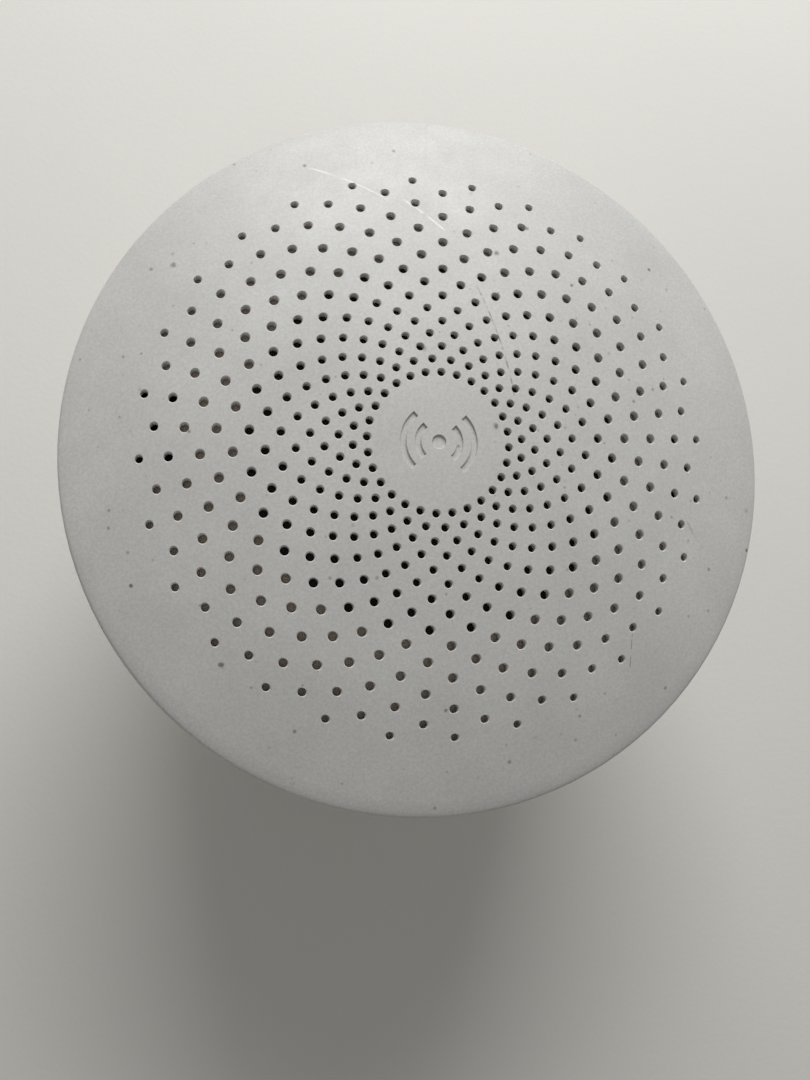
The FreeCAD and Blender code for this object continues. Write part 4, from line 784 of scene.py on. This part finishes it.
class Look(Enum):
    """The finishes of the whole object, one for each material slot of the record."""

    FRONT = WornShell(
        "shell_white", SHELL, 0.47, "worn_front", grain=0.3, fleck=0.28, mottle=0.05, specks=1.0, scratches=SCRATCHES
    )
    SHELL = Moulded("shell_white", SHELL, 0.44, grain=0.3, fleck=0.18, specks=0.6)
    INSERT = Moulded("insert_white", (0.58, 0.585, 0.58), 0.38, grain=0.35, grain_depth=0.002, specks=0.4)
    BUTTON = Moulded("button_white", (0.60, 0.605, 0.60), 0.4, grain=0.16, specks=0.3)
    RING = Milky("ring_milk", (0.80, 0.80, 0.77), 0.34)
    # Painted shade: the baffle is white plastic, and its warm grey-brown stands for how it looks in the dim shade
    # behind the outer rings of holes.
    BAFFLE = Moulded("baffle_grey", (0.50, 0.43, 0.36), 0.55, grain=0.3, grain_depth=0.008, mottle=0.1)
    CLOTH = Woven("mesh_black", (0.012, 0.012, 0.013), 0.85)
    LENS = Smoked("lens_smoke", (0.03, 0.03, 0.035), 0.06)
    BLADE = Metal("blade_nickel", (0.72, 0.70, 0.66), 0.24, lines=(1.0, 1.0, 0.04), wear=0.35)
    SCREW = Metal("screw_steel", (0.56, 0.57, 0.58), 0.33, lines=(1.0, 1.0, 1.0), line_size=0.25)
    RETAINER = Moulded("retainer_black", (0.022, 0.022, 0.024), 0.5, grain=0.3, grain_depth=0.01)
    FOAM = Rubber("foam_black", (0.02, 0.02, 0.02), 0.9, pore=0.18, pore_depth=0.08)
    PAN = Coated("pan_steel", (0.03, 0.03, 0.032), 0.42)
    IRON = Metal("iron_zinc", (0.52, 0.53, 0.54), 0.34, lines=(1.0, 1.0, 0.2), tarnish=(0.4, 0.38, 0.28))
    FERRITE = Sintered("ferrite", (0.035, 0.035, 0.038), 0.5)
    FORMER = Dipped("former_film", (0.42, 0.22, 0.05), 0.25, ripple=0.6)
    COPPER = Wound("copper", (0.72, 0.30, 0.12), 0.3, pitch=0.16)
    CONE = Pressed("cone_paper", (0.03, 0.03, 0.032), 0.85)
    ROLL = Rubber("roll_rubber", (0.018, 0.018, 0.019), 0.45, pore=0.12, pore_depth=0.006)
    SPIDER = Woven("spider_cloth", (0.50, 0.33, 0.10), 0.7, thread=0.22, gap=(0.2, 0.12, 0.03))
    LEAD_BLACK = Rubber("lead_black", (0.02, 0.02, 0.02), 0.4, pore=0.1, pore_depth=0.004)
    LEAD_RED = Rubber("lead_red", (0.45, 0.02, 0.015), 0.4, pore=0.1, pore_depth=0.004)
    CONNECTOR = Moulded("connector_ivory", (0.68, 0.62, 0.48), 0.45, grain=0.4, mottle=0.06)
    MAIN_BOARD = Board("board_green", (0.008, 0.085, 0.035), 0.35)
    RADIO_BOARD = Board("board_blue", (0.008, 0.025, 0.12), 0.33, track=1.2, open_pads=1.5)
    POWER_BOARD = Board("board_tan", (0.50, 0.34, 0.13), 0.6, track=4.0, open_pads=3.2)
    LED = Dipped("led_white", (0.80, 0.80, 0.70), 0.3, ripple=0.5)
    CAN = Metal("can_steel", (0.62, 0.62, 0.62), 0.36, lines=(1.0, 0.1, 1.0), line_size=0.15, wear=0.2)
    CHIP = Moulded("chip_black", (0.015, 0.015, 0.017), 0.5, grain=0.12, grain_depth=0.006)
    TIN = Metal("tin_bright", (0.78, 0.78, 0.78), 0.22, lines=(0.2, 0.2, 1.0), line_size=0.12, wear=0.15)
    SLEEVE = Dipped("sleeve_black", (0.015, 0.015, 0.025), 0.28, stripe=(0.55, 0.56, 0.58))
    DIP_BLUE = Dipped("dip_blue", (0.01, 0.05, 0.33), 0.3)
    DIP_RED = Dipped("dip_red", (0.42, 0.05, 0.02), 0.3)
    TAPE = Dipped("tape_yellow", (0.75, 0.48, 0.02), 0.22, ripple=2.0)
    SHEET = Dipped("sheet_amber", (0.48, 0.22, 0.03), 0.2, ripple=4.0, alpha=0.75)
    SWITCH = Moulded("switch_body", (0.03, 0.03, 0.03), 0.5, grain=0.2, grain_depth=0.006)

    @property
    def finish(self) -> Finish:
        """The finish behind the name."""
        return self.value


def present(piece: Object, body: str, look: Look, *nodes: str) -> Object:
    """Finishes a new piece, lets it ride on its body and hides the nodes that it stands for."""
    look.finish.on(piece)
    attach(piece, body)
    if nodes:
        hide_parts(*nodes)
    log.info("%s: %d faces on %s", piece.name, len(piece.data.polygons), body)
    return piece


# --- Casing -------------------------------------------------------------------------------------------


@dataclass
class Dome:
    """The sphere that the front is part of."""

    radius: float
    top: float
    rise: float = 5.8

    @property
    def sphere(self) -> float:
        """The sphere's radius."""
        return (self.radius**2 + self.rise**2) / (2 * self.rise)

    def z(self, radius: float, depth: float = 0.0) -> float:
        """Height at a radius, on the sphere that lies depth below the outer one."""
        return self.top - self.sphere + math.sqrt((self.sphere - depth) ** 2 - radius**2)

    def slope(self, radius: float) -> float:
        """How far the surface leans outwards at a radius, in radians."""
        return math.asin(radius / self.sphere)


@dataclass
class FrontCover:
    """The white dome with its 448 holes, the sunk mark in the middle, a short skirt and four hooks."""

    dome: Dome
    skirt_z: float = 28.6
    wall: float = 1.8
    grille_wall: float = 1.0
    field_radius: float = 33.03
    edge: float = 0.6
    holes: int = 28
    rings: int = 16
    inner_ring: float = 7.78
    outer_ring: float = 31.53
    even_gaps: int = 5
    gap_swell: float = 0.14
    hole_small: float = 0.85
    hole_large: float = 1.04
    cell_sides: int = 4
    cell_margin: float = 0.75
    lip: float = 0.1
    mark_depth: float = 0.25
    mark_edge: float = 0.04
    dot: float = 0.8
    arcs: tuple[float, float] = (2.3, 3.9)
    arc_width: float = 0.75
    arc_half_angle: float = 48.3
    hook: Place = (1.2, 6.0, 34.5)
    hook_bottom: float = 27.0
    barb: float = 1.2
    barb_height: float = 1.1

    @property
    def steps(self) -> int:
        """Flats round the full turn, shared by every band of the cover."""
        return self.holes * self.cell_sides

    def swell(self, index: int, first: int, last: int) -> float:
        """0 up to first, then half a sine wave that is back to 0 at last."""
        return math.sin(math.pi * (index - first) / (last - first)) if index > first else 0.0

    def hole_rings(self) -> list[Point]:
        """Radius and hole radius of each ring, from the middle outwards."""
        gaps = self.rings - 1
        shares = [1 + self.gap_swell * self.swell(gap, self.even_gaps, gaps) for gap in range(1, gaps + 1)]
        step = (self.outer_ring - self.inner_ring) / sum(shares)
        rings = []
        for ring in range(1, self.rings + 1):
            grown = (self.hole_large - self.hole_small) * self.swell(ring, self.even_gaps + 1, self.rings)
            rings.append((self.inner_ring + step * sum(shares[: ring - 1]), (self.hole_small + grown) / 2))
        return rings

    def borders(self) -> list[float]:
        """Radii between the rings of holes, with one inside the first and one outside the last."""
        radii = [radius for radius, _ in self.hole_rings()]
        between = [(a + b) / 2 for a, b in zip(radii, radii[1:])]
        return [radii[0] - self.cell_margin, *between, radii[-1] + self.cell_margin]

    def cell(self, ring: int, inner: float, outer: float, radius: float, hole: float) -> Object:
        """One tile of the grille: a curved square whose border is bridged to the round hole in its middle."""
        stations = [inner + (outer - inner) * n / self.cell_sides for n in range(self.cell_sides + 1)]
        tile = start_line(f"grille_tile_{ring}", [(r, 0.0, self.dome.z(r)) for r in stations])
        pitch = math.tau / self.holes
        bpy.ops.mesh.spin(steps=self.cell_sides, angle=-pitch, center=(0, 0, 0), axis=(0, 0, 1))
        slack = 0.001

        def within(place: Vector) -> bool:
            flat = math.hypot(place.x, place.y)
            turn = math.atan2(place.y, place.x)
            return inner + slack < flat < outer - slack and slack / flat < turn < pitch - slack / flat

        pick(Kind.POINTS, within)
        bpy.ops.mesh.delete(type="VERT")
        spot = polar(radius, math.degrees(pitch) / 2, self.dome.z(radius))
        bpy.ops.mesh.primitive_circle_add(
            vertices=4 * self.cell_sides,
            radius=hole * MM,
            location=scaled(spot),
            rotation=(0, self.dome.slope(radius), pitch / 2),
        )
        bpy.ops.mesh.select_mode(type="EDGE")
        bpy.ops.mesh.select_all(action="SELECT")
        bpy.ops.mesh.bridge_edge_loops()
        if ring % 2 == 0:
            bpy.ops.mesh.select_all(action="SELECT")
            bpy.ops.transform.rotate(value=pitch / 2, orient_axis="Z", center_override=(0, 0, 0))
        rest()
        return tile

    def field(self) -> Object:
        """The perforated band: one wedge of tiles, copied round the axis."""
        borders = self.borders()
        tiles = [
            self.cell(ring, borders[ring], borders[ring + 1], radius, hole)
            for ring, (radius, hole) in enumerate(self.hole_rings())
        ]
        band = join("grille_field", *tiles)
        edit(band)
        bpy.ops.mesh.spin(
            steps=self.holes, angle=math.tau, center=(0, 0, 0), axis=(0, 0, 1), dupli=True, use_auto_merge=False
        )
        close_up()
        rest()
        return band

    def middle(self) -> Object:
        """The disc inside the first ring of holes, with an edge wherever the mark needs one."""
        half = self.arc_width / 2
        marks = [radius + side * half for radius in self.arcs for side in (-1, 1)]
        stops = [0.0, self.dot, *marks, 5.2, 6.1, self.borders()[0]]
        return lathe("grille_middle", [(r, self.dome.z(r)) for r in stops], self.steps)

    def border(self) -> Object:
        """The plain band outside the holes, round the rim, down the skirt and back up inside."""
        dome, radius = self.dome, self.dome.radius
        start = self.borders()[-1]
        inner = radius - self.wall
        shoulder = radius - self.edge * 1.05
        fillet = arc((radius - self.edge, dome.z(radius) - self.edge * 0.85), self.edge, 72, 0, 5)
        outline = [(r, dome.z(r)) for r in (start, 33.5, 35.0, 36.6, 38.2, shoulder - 0.2)]
        outline += fillet
        outline += arc((radius - 0.15, self.skirt_z + 0.15), 0.15, 0, -90, 3)
        outline += [(inner + 0.1, self.skirt_z), (inner, self.skirt_z + 0.1)]
        outline += [(r, dome.z(r, self.wall)) for r in (inner, 36.5, 34.8, self.field_radius)]
        outline += [(r, dome.z(r) - self.grille_wall) for r in (self.field_radius, start)]
        return lathe("cover_border", outline, self.steps)

    def on_lip(self, place: Vector) -> bool:
        """True on the top edge of a hole."""
        flat = math.hypot(place.x, place.y)
        if place.z < self.dome.z(min(flat, self.dome.radius)) - self.grille_wall / 2:
            return False
        pitch = math.tau / self.holes
        for ring, (radius, hole) in enumerate(self.hole_rings()):
            if abs(flat - radius) > hole + 0.05:
                continue
            turn = math.atan2(place.y, place.x)
            offset = pitch / 2 if ring % 2 else 0.0
            nearest = round((turn - offset) / pitch) * pitch + offset
            off = math.hypot(place.x - radius * math.cos(nearest), place.y - radius * math.sin(nearest))
            if abs(off - hole) < 0.03:
                return True
        return False

    def on_mark(self, place: Vector) -> bool:
        """True inside the dot or one of the arcs."""
        flat = math.hypot(place.x, place.y)
        if flat < self.dot:
            return True
        turn = math.degrees(math.atan2(place.y, abs(place.x)))
        return abs(turn) < self.arc_half_angle and any(abs(flat - r) < self.arc_width / 2 for r in self.arcs)

    def leg(self) -> Object:
        """A hook on the +X side: a springy leg with a barb, extruded from a box."""
        thick, wide, middle = self.hook
        top = self.dome.z(middle) - self.wall / 2
        leg = bar("cover_hook", (thick, wide, top - self.hook_bottom), (middle, 0, (top + self.hook_bottom) / 2))
        edit(leg)
        cut = self.hook_bottom + self.barb_height
        bpy.ops.mesh.bisect(plane_co=scaled((0, 0, cut)), plane_no=(0, 0, 1))
        pick(Kind.FACES, lambda p: p.z < cut, Vector((1, 0, 0)))
        bpy.ops.mesh.extrude_region_move(TRANSFORM_OT_translate={"value": scaled((self.barb, 0, 0))})
        tip = middle + thick / 2 + self.barb
        pick(Kind.POINTS, lambda p: p.x > tip - MERGE and p.z < cut - MERGE)
        bpy.ops.transform.translate(value=scaled((0, 0, self.barb_height * 0.7)))
        rest()
        return ease(leg, 0.1, 1)

    def build(self) -> Object:
        """Makes the cover.

        Returns:
            The finished piece, which stands for the CAD cover.
        """
        cover = join("front_cover_look", self.middle(), self.field())
        edit(cover)
        close_up()
        bpy.ops.mesh.extrude_region_move(TRANSFORM_OT_translate={"value": scaled((0, 0, -self.grille_wall))})
        rim = self.borders()[-1]
        pick(Kind.FACES, lambda p: math.hypot(p.x, p.y) > rim * math.cos(math.pi / self.steps) - 0.01)
        bpy.ops.mesh.delete(type="FACE")
        rest()
        cover = join("front_cover_look", cover, self.border())
        edit(cover)
        close_up()
        floor = self.dome.top - self.grille_wall / 2
        pick(Kind.FACES, lambda p: p.z > floor and self.on_mark(p), Vector((0, 0, 1)))
        edge = self.mark_edge * MM
        bpy.ops.mesh.inset(thickness=edge, depth=-edge)
        drop = self.mark_edge - self.mark_depth
        bpy.ops.mesh.extrude_region_move(TRANSFORM_OT_translate={"value": scaled((0, 0, drop))})
        pick(Kind.EDGES, self.on_lip)
        bpy.ops.mesh.bevel(offset=self.lip * MM, segments=1, affect="EDGES")
        rest()
        leg = self.leg()
        legs = [set_down(leg, (0, 0, 0), 90.0 * n) for n in range(4)]
        scrap(leg)
        cover = join("front_cover_look", cover, *legs)
        return present(polish(cover), ROOT, Look.FRONT, "front_cover")


@dataclass
class LightRing:
    """The milky band round the side with a tray that reaches in over the LEDs."""

    radius: float
    low: float = 24.3
    high: float = 28.3
    wall: float = 2.0
    tray_inner: float = 33.0
    tray_outer: float = 37.7
    tray_low: float = 21.4
    tray_high: float = 25.6
    soft: float = 0.3
    posts: tuple[float, ...] = (40.0, 140.0, 220.0, 320.0)
    post_ring: float = 33.8
    notch: float = 2.85

    def build(self) -> Object:
        """Spins the band and its tray, then notches the tray round the posts."""
        r, soft = self.radius, self.soft
        outline = [(self.tray_inner, self.tray_low), (self.tray_outer, self.tray_low), (self.tray_outer, self.low)]
        outline += arc((r - soft, self.low + soft), soft, -90, 0, 4)
        outline += arc((r - soft, self.high - soft), soft, 0, 90, 4)
        outline += [(r - self.wall, self.high), (r - self.wall, self.tray_high)]
        outline += [(self.tray_inner, self.tray_high), (self.tray_inner, self.tray_low)]
        ring = lathe("light_ring_look", outline, 180)
        tall = self.tray_high - self.tray_low + 2
        middle = (self.tray_high + self.tray_low) / 2
        places = [polar(self.post_ring, angle, middle) for angle in self.posts]
        cutters = [rod(f"notch_{n}", self.notch, tall, place) for n, place in enumerate(places)]
        return present(polish(carve(ring, *cutters)), ROOT, Look.RING, "light_ring")


@dataclass
class RearHousing:
    """The white cup with its round boss, the posts inside it, the button's slot and the lens hole."""

    radius: float
    seam: float = 24.3
    wall: float = 2.0
    corner: float = 10.0
    boss: float = 24.5
    boss_height: float = 4.0
    boss_edge: float = 1.0
    bore: float = 17.0
    floor: float = 3.0
    slot: Place = (11.3, 3.3, 17.3)
    lens_angle: float = -23.0
    lens_hole: float = 1.1
    post: float = 2.6
    pilot: float = 1.0
    tall_posts: tuple[float, ...] = (40.0, 140.0, 220.0, 320.0)
    board_posts: tuple[float, ...] = (90.0, 270.0)
    low_posts: tuple[float, ...] = (35.0, 145.0, 235.0)

    def outline(self) -> list[Point]:
        """The wall's outline, from the bore round the outside and back inside."""
        r, flat, wall = self.radius, self.radius - self.corner, self.wall
        centre = self.boss_height + self.corner
        foot, edge = self.boss, self.boss_edge
        points = [(self.bore, 0.25), (self.bore + 0.25, 0.0)]
        points += arc((foot - edge, edge), edge, -90, 0, 6)
        points += arc((foot + 0.3, self.boss_height - 0.3), 0.3, 180, 90, 3)
        points += arc((flat, centre), self.corner, -90, 0, 20)
        points += [(r, self.seam - 0.2), (r - 0.2, self.seam), (r - wall, self.seam), (r - wall, centre)]
        points += arc((flat, centre), self.corner - wall, 0, -90, 12)[1:]
        points += [(foot - wall, self.boss_height + wall), (foot - wall, self.floor), (self.bore, self.floor)]
        return points + points[:1]

    def posts(self) -> list[Object]:
        """Screw posts: one turned tube for each height, copied to its places."""
        plan = (
            (self.tall_posts, 33.8, 9.0, self.seam, 18.9),
            (self.board_posts, 30.5, 5.2, 19.1, 13.7),
            (self.low_posts, 26.0, 5.2, 7.5, 5.6),
        )
        made = []
        for angles, ring, low, high, drilled in plan:
            outline = [(0.0, low), (self.post, low), (self.post, high - 0.15), (self.post - 0.15, high)]
            outline += [(self.pilot + 0.15, high), (self.pilot, high - 0.15), (self.pilot, drilled), (0.0, drilled)]
            pattern = lathe("post", outline, 32)
            made += [set_down(pattern, polar(ring, angle)) for angle in angles]
            scrap(pattern)
        return made

    def build(self) -> Object:
        """Spins the cup, cuts its openings and stands the posts in it."""
        cup = lathe("rear_housing_look", self.outline(), 180)
        length, height, z = self.slot
        slot = pill("button_slot", length, height, self.radius - 5, self.radius + 2, z)
        lens = moved(rod("lens_hole", self.lens_hole, 6.0, (0, 0, 0)), radial(self.radius, self.lens_angle, z))
        carve(cup, slot, lens)
        cup = join("rear_housing_look", cup, *self.posts())
        return present(polish(cup), ROOT, Look.SHELL, "rear_housing")


@dataclass
class SideButton:
    """The pill-shaped push button, its flange inside the wall and the stem to the switch."""

    face: float
    length: float = 11.0
    height: float = 3.0
    z: float = 17.3
    flange_face: float = 37.206
    flange: Place = (1.0, 12.8, 3.0)
    stem_end: float = 35.45
    stem: float = 2.0
    crown: float = 0.25

    def build(self) -> Object:
        """Extrudes the pill, eases its rim and bows its face to the wall's curve."""
        cap = pill("side_button_look", self.length, self.height, self.flange_face, self.face, self.z)
        edit(cap)
        for y in (-4, -3, -2, -1, 0, 1, 2, 3, 4):
            bpy.ops.mesh.select_all(action="SELECT")
            bpy.ops.mesh.bisect(plane_co=scaled((0, y, 0)), plane_no=(0, 1, 0))
        pick(Kind.EDGES, lambda p: p.x > self.face - MERGE and self.on_rim(p))
        bpy.ops.mesh.bevel(offset=self.crown * MM, segments=4, affect="EDGES")
        for y in range(-6, 7):
            pick(Kind.POINTS, lambda p: p.x > self.face - 1.0 and y - 0.5 <= p.y < y + 0.5)
            sag = self.face - math.sqrt(self.face**2 - min(abs(y), 5.2) ** 2)
            bpy.ops.transform.translate(value=scaled((-sag, 0, 0)))
        rest()
        deep, wide, tall = self.flange
        back = self.flange_face - deep
        lip = ease(pill("flange", wide, tall, back, self.flange_face, self.z), 0.12, 1)
        size = (back - self.stem_end + 0.1, self.stem, self.stem)
        stem = ease(bar("stem", size, ((back + self.stem_end + 0.1) / 2, 0, self.z)), 0.15, 1)
        button = join("side_button_look", cap, lip, stem)
        return present(polish(button, 35), "button", Look.BUTTON, "side_button")

    def on_rim(self, place: Vector) -> bool:
        """True on the outline of the face."""
        half = (self.length - self.height) / 2
        reach = math.hypot(max(0.0, abs(place.y) - half), place.z - self.z)
        return abs(reach - self.height / 2) < 0.02


@dataclass
class SensorLens:
    """The smoked lens in the side wall, turned like a button with a flange behind it."""

    face: float = 40.0
    angle: float = -23.0
    z: float = 17.3
    radius: float = 1.1
    shoulder: float = 37.761
    flange: float = 1.7
    flange_depth: float = 1.0

    def build(self) -> Object:
        """Spins the lens upright and lays it over into the wall."""
        depth = self.face - self.shoulder
        outline = [(0.0, depth), (0.5, depth - 0.01), (0.8, depth - 0.03), (self.radius - 0.09, depth - 0.06)]
        outline += arc((self.radius - 0.09, depth - 0.15), 0.09, 90, 0, 3)
        outline += [(self.radius, 0.0), (self.flange - 0.1, 0.0), (self.flange, -0.1)]
        back = -self.flange_depth
        outline += [(self.flange, back + 0.1), (self.flange - 0.1, back), (0.0, back)]
        lens = moved(lathe("sensor_lens_look", outline, 48), radial(self.shoulder, self.angle, self.z))
        return present(polish(lens), ROOT, Look.LENS, "sensor_lens")


@dataclass
class GrilleCloth:
    """Black cloth stretched under the holes that the speaker sounds through."""

    dome: Dome
    radius: float = 20.8
    depth: float = 1.05
    thickness: float = 0.3

    def build(self) -> Object:
        """Spins a fine domed disc and gives it its thickness."""
        stops = [self.radius * n / 16 for n in range(17)]
        cloth = lathe("grille_cloth", [(r, self.dome.z(r, self.depth)) for r in stops], 96)
        hold(cloth)
        body = cloth.modifiers.new("body", "SOLIDIFY")
        body.thickness = self.thickness * MM
        body.offset = -1.0
        bpy.ops.object.modifier_apply(modifier=body.name)
        present(polish(cloth, 40), ROOT, Look.CLOTH, "grille_mesh")
        return cloth


# --- Plug ---------------------------------------------------------------------------------------------


@dataclass
class Blade:
    """One flat blade: where it stands, its turn and its length."""

    name: str
    at: Point
    turn: float
    length: float


@dataclass
class WallPlug:
    """The insert in the back and the three flat blades that it holds."""

    thickness: float = 1.6
    width: float = 6.35
    fit: float = 0.05
    tip: float = 0.5
    seat: float = 4.6
    shoulder: float = 1.0
    shoulder_reach: float = 1.2
    tail: Place = (0.8, 2.6, 9.6)
    insert_radius: float = 16.9
    flange_radius: float = 21.6
    floor: float = 3.0
    screw_ring: float = 19.3
    screw_hole: float = 1.25
    screw_angles: tuple[float, ...] = (30.0, 150.0, 270.0)

    def blades(self) -> list[Blade]:
        """The live, neutral and earth blades."""
        return [
            Blade("live_blade", polar(7.92, 30)[:2], 30, 18.0),
            Blade("neutral_blade", polar(7.92, 150)[:2], 150, 18.0),
            Blade("earth_blade", (0.0, -10.31), 0, 21.0),
        ]

    def forge(self, blade: Blade) -> Object:
        """Makes a blade from a box: drawn out, tapered at the tip, eased, with its shoulder and tail."""
        piece = bar(blade.name + "_look", (self.thickness, self.width, self.seat), (0, 0, self.seat / 2))
        edit(piece)
        pick(Kind.FACES, lambda p: p.z < MERGE, Vector((0, 0, -1)))
        down = scaled((0, 0, self.tip - blade.length))
        bpy.ops.mesh.extrude_region_move(TRANSFORM_OT_translate={"value": down})
        bpy.ops.mesh.extrude_region_move(TRANSFORM_OT_translate={"value": scaled((0, 0, -self.tip))})
        narrow = (1 - 2 * self.tip / self.thickness, 1 - 2 * self.tip / self.width, 1)
        bpy.ops.transform.resize(value=narrow, center_override=scaled((0, 0, -blade.length)))
        rest()
        ease(piece, 0.12, 2, 30)
        reach = 2 * self.shoulder_reach
        block = (self.thickness + reach, self.width + reach, self.shoulder)
        shoulder = ease(bar("shoulder", block, (0, 0, self.seat + self.shoulder / 2)), 0.1, 1)
        deep, wide, top = self.tail
        tall = top - self.seat - self.shoulder
        tail = ease(bar("tail", (deep, wide, tall), (0, 0, top - tall / 2)), 0.08, 1)
        piece = join(blade.name + "_look", piece, shoulder, tail)
        moved(piece, upright((*blade.at, 0), blade.turn))
        return present(polish(piece), ROOT, Look.BLADE, blade.name)

    def insert(self) -> Object:
        """Spins the insert and its flange, then cuts the blades' slots and the screw holes."""
        r, flange, seat = self.insert_radius, self.flange_radius, self.seat
        outline = [(0.0, 0.0), (8.0, 0.0), (r - 0.35, 0.0), (r - 0.1, 0.08), (r, 0.3), (r, self.floor)]
        outline += [(flange, self.floor), (flange, seat - 0.15), (flange - 0.15, seat), (0.0, seat)]
        disc = lathe("plug_insert_look", outline, 120)
        cutters = []
        for blade in self.blades():
            size = (self.thickness + 2 * self.fit, self.width + 2 * self.fit, 12.0)
            cutter = bar("slot_" + blade.name, size, (0, 0, 0))
            cutters.append(moved(cutter, upright((*blade.at, 2), blade.turn)))
        for turn in self.screw_angles:
            cutters.append(rod(f"screw_{turn:.0f}", self.screw_hole, 6.0, polar(self.screw_ring, turn, 4), 24))
        return present(polish(carve(disc, *cutters)), ROOT, Look.INSERT, "plug_insert")

    def build(self) -> list[Object]:
        """The insert and its blades."""
        return [self.insert(), *[self.forge(blade) for blade in self.blades()]]


# --- Works --------------------------------------------------------------------------------------------


@dataclass
class Works:
    """The inner nodes, which keep the shape that they came with and get a finish.

    A node's finish is the one of its slot in the record. A node made of two stuffs has a finish of its own,
    which changes over at a place taken from the node's box.
    """

    hidden: Sequence[str]
    choke_flange: float = 1.2
    fuse_cap: float = 2.0
    pin_showing: float = 0.6

    def zoned(self, node: str, axis: str, inset: float, **look: object) -> Zoned:
        """A finish whose inner zone leaves out both ends of a node along an axis."""
        low, high = (corner["XYZ".index(axis)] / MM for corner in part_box(node))
        slot = self.slots()[node]
        return Zoned(slot=slot, name=node, axis=axis, edges=(low + inset, high - inset), **look)

    def slots(self) -> dict[str, str]:
        """The record's slot of every node."""
        return {part["node"]: part["material_slot"] for part in frame["record"]["subparts"]}

    def two_stuffs(self) -> dict[str, Zoned]:
        """The nodes that are made of two stuffs."""
        black, steel = (0.02, 0.02, 0.02), (0.7, 0.7, 0.7)
        winding = {"colour": (0.7, 0.28, 0.1), "roughness": 0.3, "turn_pitch": 0.3, "first_metal": 0.85}
        glass = {"colour": (0.72, 0.66, 0.52), "roughness": 0.2}
        return {
            "choke": self.zoned("choke", "Z", self.choke_flange, other=black, other_metal=0.0, **winding),
            "mains_fuse": self.zoned("mains_fuse", "X", self.fuse_cap, other=steel, **glass),
            "board_link": self.zoned("board_link", "Z", self.pin_showing, colour=black, other=(0.75, 0.6, 0.3)),
        }

    def dress(self) -> None:
        """Finishes every node that shows."""
        by_slot = {look.finish.slot: look.finish for look in Look}
        special = self.two_stuffs()
        for node, slot in self.slots().items():
            if node not in self.hidden:
                special.get(node, by_slot[slot]).on(frame["nodes"][node])
                log.info("%s: %s", node, slot)


# --- Studio -------------------------------------------------------------------------------------------


@dataclass(frozen=True)
class Paper(Finish):
    """Pale matt backdrop paper."""

    def mix(self, recipe: Recipe) -> None:
        """Faint fibres and tone."""
        colour = recipe.tint(recipe.level(recipe.noise(60.0, 3.0), 0.3, 0.7), darker(self.colour, 0.97), self.colour)
        recipe.shade(Base_Color=colour, Roughness=self.roughness, Normal=recipe.bump(recipe.noise(0.8), 0.03))


@dataclass
class Studio:
    """A pale floor, one large soft lamp high on the left, a dim sky and the camera above the grille."""

    floor_z: float = -21.0
    floor_size: float = 4.0
    eye: Place = (-17.7, -22.83, 127.38)
    right: Place = (0.98588, 0.03942, 0.16274)
    up: Place = (-0.05979, 0.99069, 0.12229)
    back: Place = (-0.1564, -0.13029, 0.97906)
    lens: float = 29.27
    lamp_way: Place = (0.02, 0.80, 0.60)
    lamp_far: float = 0.5
    lamp_size: Point = (0.34, 0.26)
    lamp_power: float = 2.25
    sky: float = 0.24

    def floor(self) -> Object:
        """Lays the paper that the speaker stands on."""
        rest()
        bpy.ops.mesh.primitive_grid_add(
            x_subdivisions=8, y_subdivisions=8, size=self.floor_size, location=(0, 0, self.floor_z * MM)
        )
        floor = settle(bpy.context.object)
        floor.name = "studio_floor"
        Paper("paper", (0.80, 0.785, 0.74), 0.9).on(floor)
        return floor

    def lamp(self, name: str, way: Place, power: float, size: Point) -> None:
        """Hangs one rectangular lamp that looks at the middle of the grille."""
        aim = Vector(way).normalized()
        lamp = bpy.data.lights.new(name, "AREA")
        lamp.shape = "RECTANGLE"
        lamp.size, lamp.size_y = size
        lamp.energy = power
        holder = bpy.data.objects.new(name, lamp)
        holder.location = aim * self.lamp_far
        holder.rotation_euler = aim.to_track_quat("Z", "Y").to_euler()
        bpy.context.scene.collection.objects.link(holder)

    def camera(self) -> None:
        """Sets the camera over the grille, turned a little to the left and down."""
        camera = bpy.data.cameras.new("view")
        camera.lens = self.lens
        camera.clip_start, camera.clip_end = 0.005, 20.0
        holder = bpy.data.objects.new("view", camera)
        turn = Matrix((self.right, self.up, self.back)).transposed()
        holder.matrix_world = Matrix.Translation(scaled(self.eye)) @ turn.to_4x4()
        bpy.context.scene.collection.objects.link(holder)
        bpy.context.scene.camera = holder

    def build(self) -> None:
        """Sets up the whole studio."""
        self.floor()
        self.lamp("key_lamp", self.lamp_way, self.lamp_power, self.lamp_size)
        world = bpy.data.worlds.new("sky")
        world.use_nodes = True
        shade = world.node_tree.nodes["Background"].inputs
        shade["Color"].default_value = (1.0, 0.99, 0.97, 1.0)
        shade["Strength"].default_value = self.sky
        bpy.context.scene.world = world
        bpy.context.scene.view_settings.view_transform = "Standard"
        self.camera()


def main() -> None:
    """Builds every sub-assembly, finishes the works and sets up the studio."""
    logging.basicConfig(level=logging.INFO, format="%(name)s: %(message)s")
    rim, top = (round(size / MM, 2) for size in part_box("front_cover")[1].yz)
    dome = Dome(rim, top)
    FrontCover(dome).build()
    GrilleCloth(dome).build()
    LightRing(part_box("light_ring")[1].y / MM).build()
    RearHousing(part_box("rear_housing")[1].y / MM).build()
    SideButton(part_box("side_button")[1].x / MM).build()
    SensorLens().build()
    WallPlug().build()
    hidden = ["front_cover", "grille_mesh", "light_ring", "rear_housing", "side_button", "sensor_lens"]
    hidden += ["plug_insert", "live_blade", "neutral_blade", "earth_blade"]
    Works(hidden).dress()
    Studio().build()


if __name__ == "__main__":
    main()
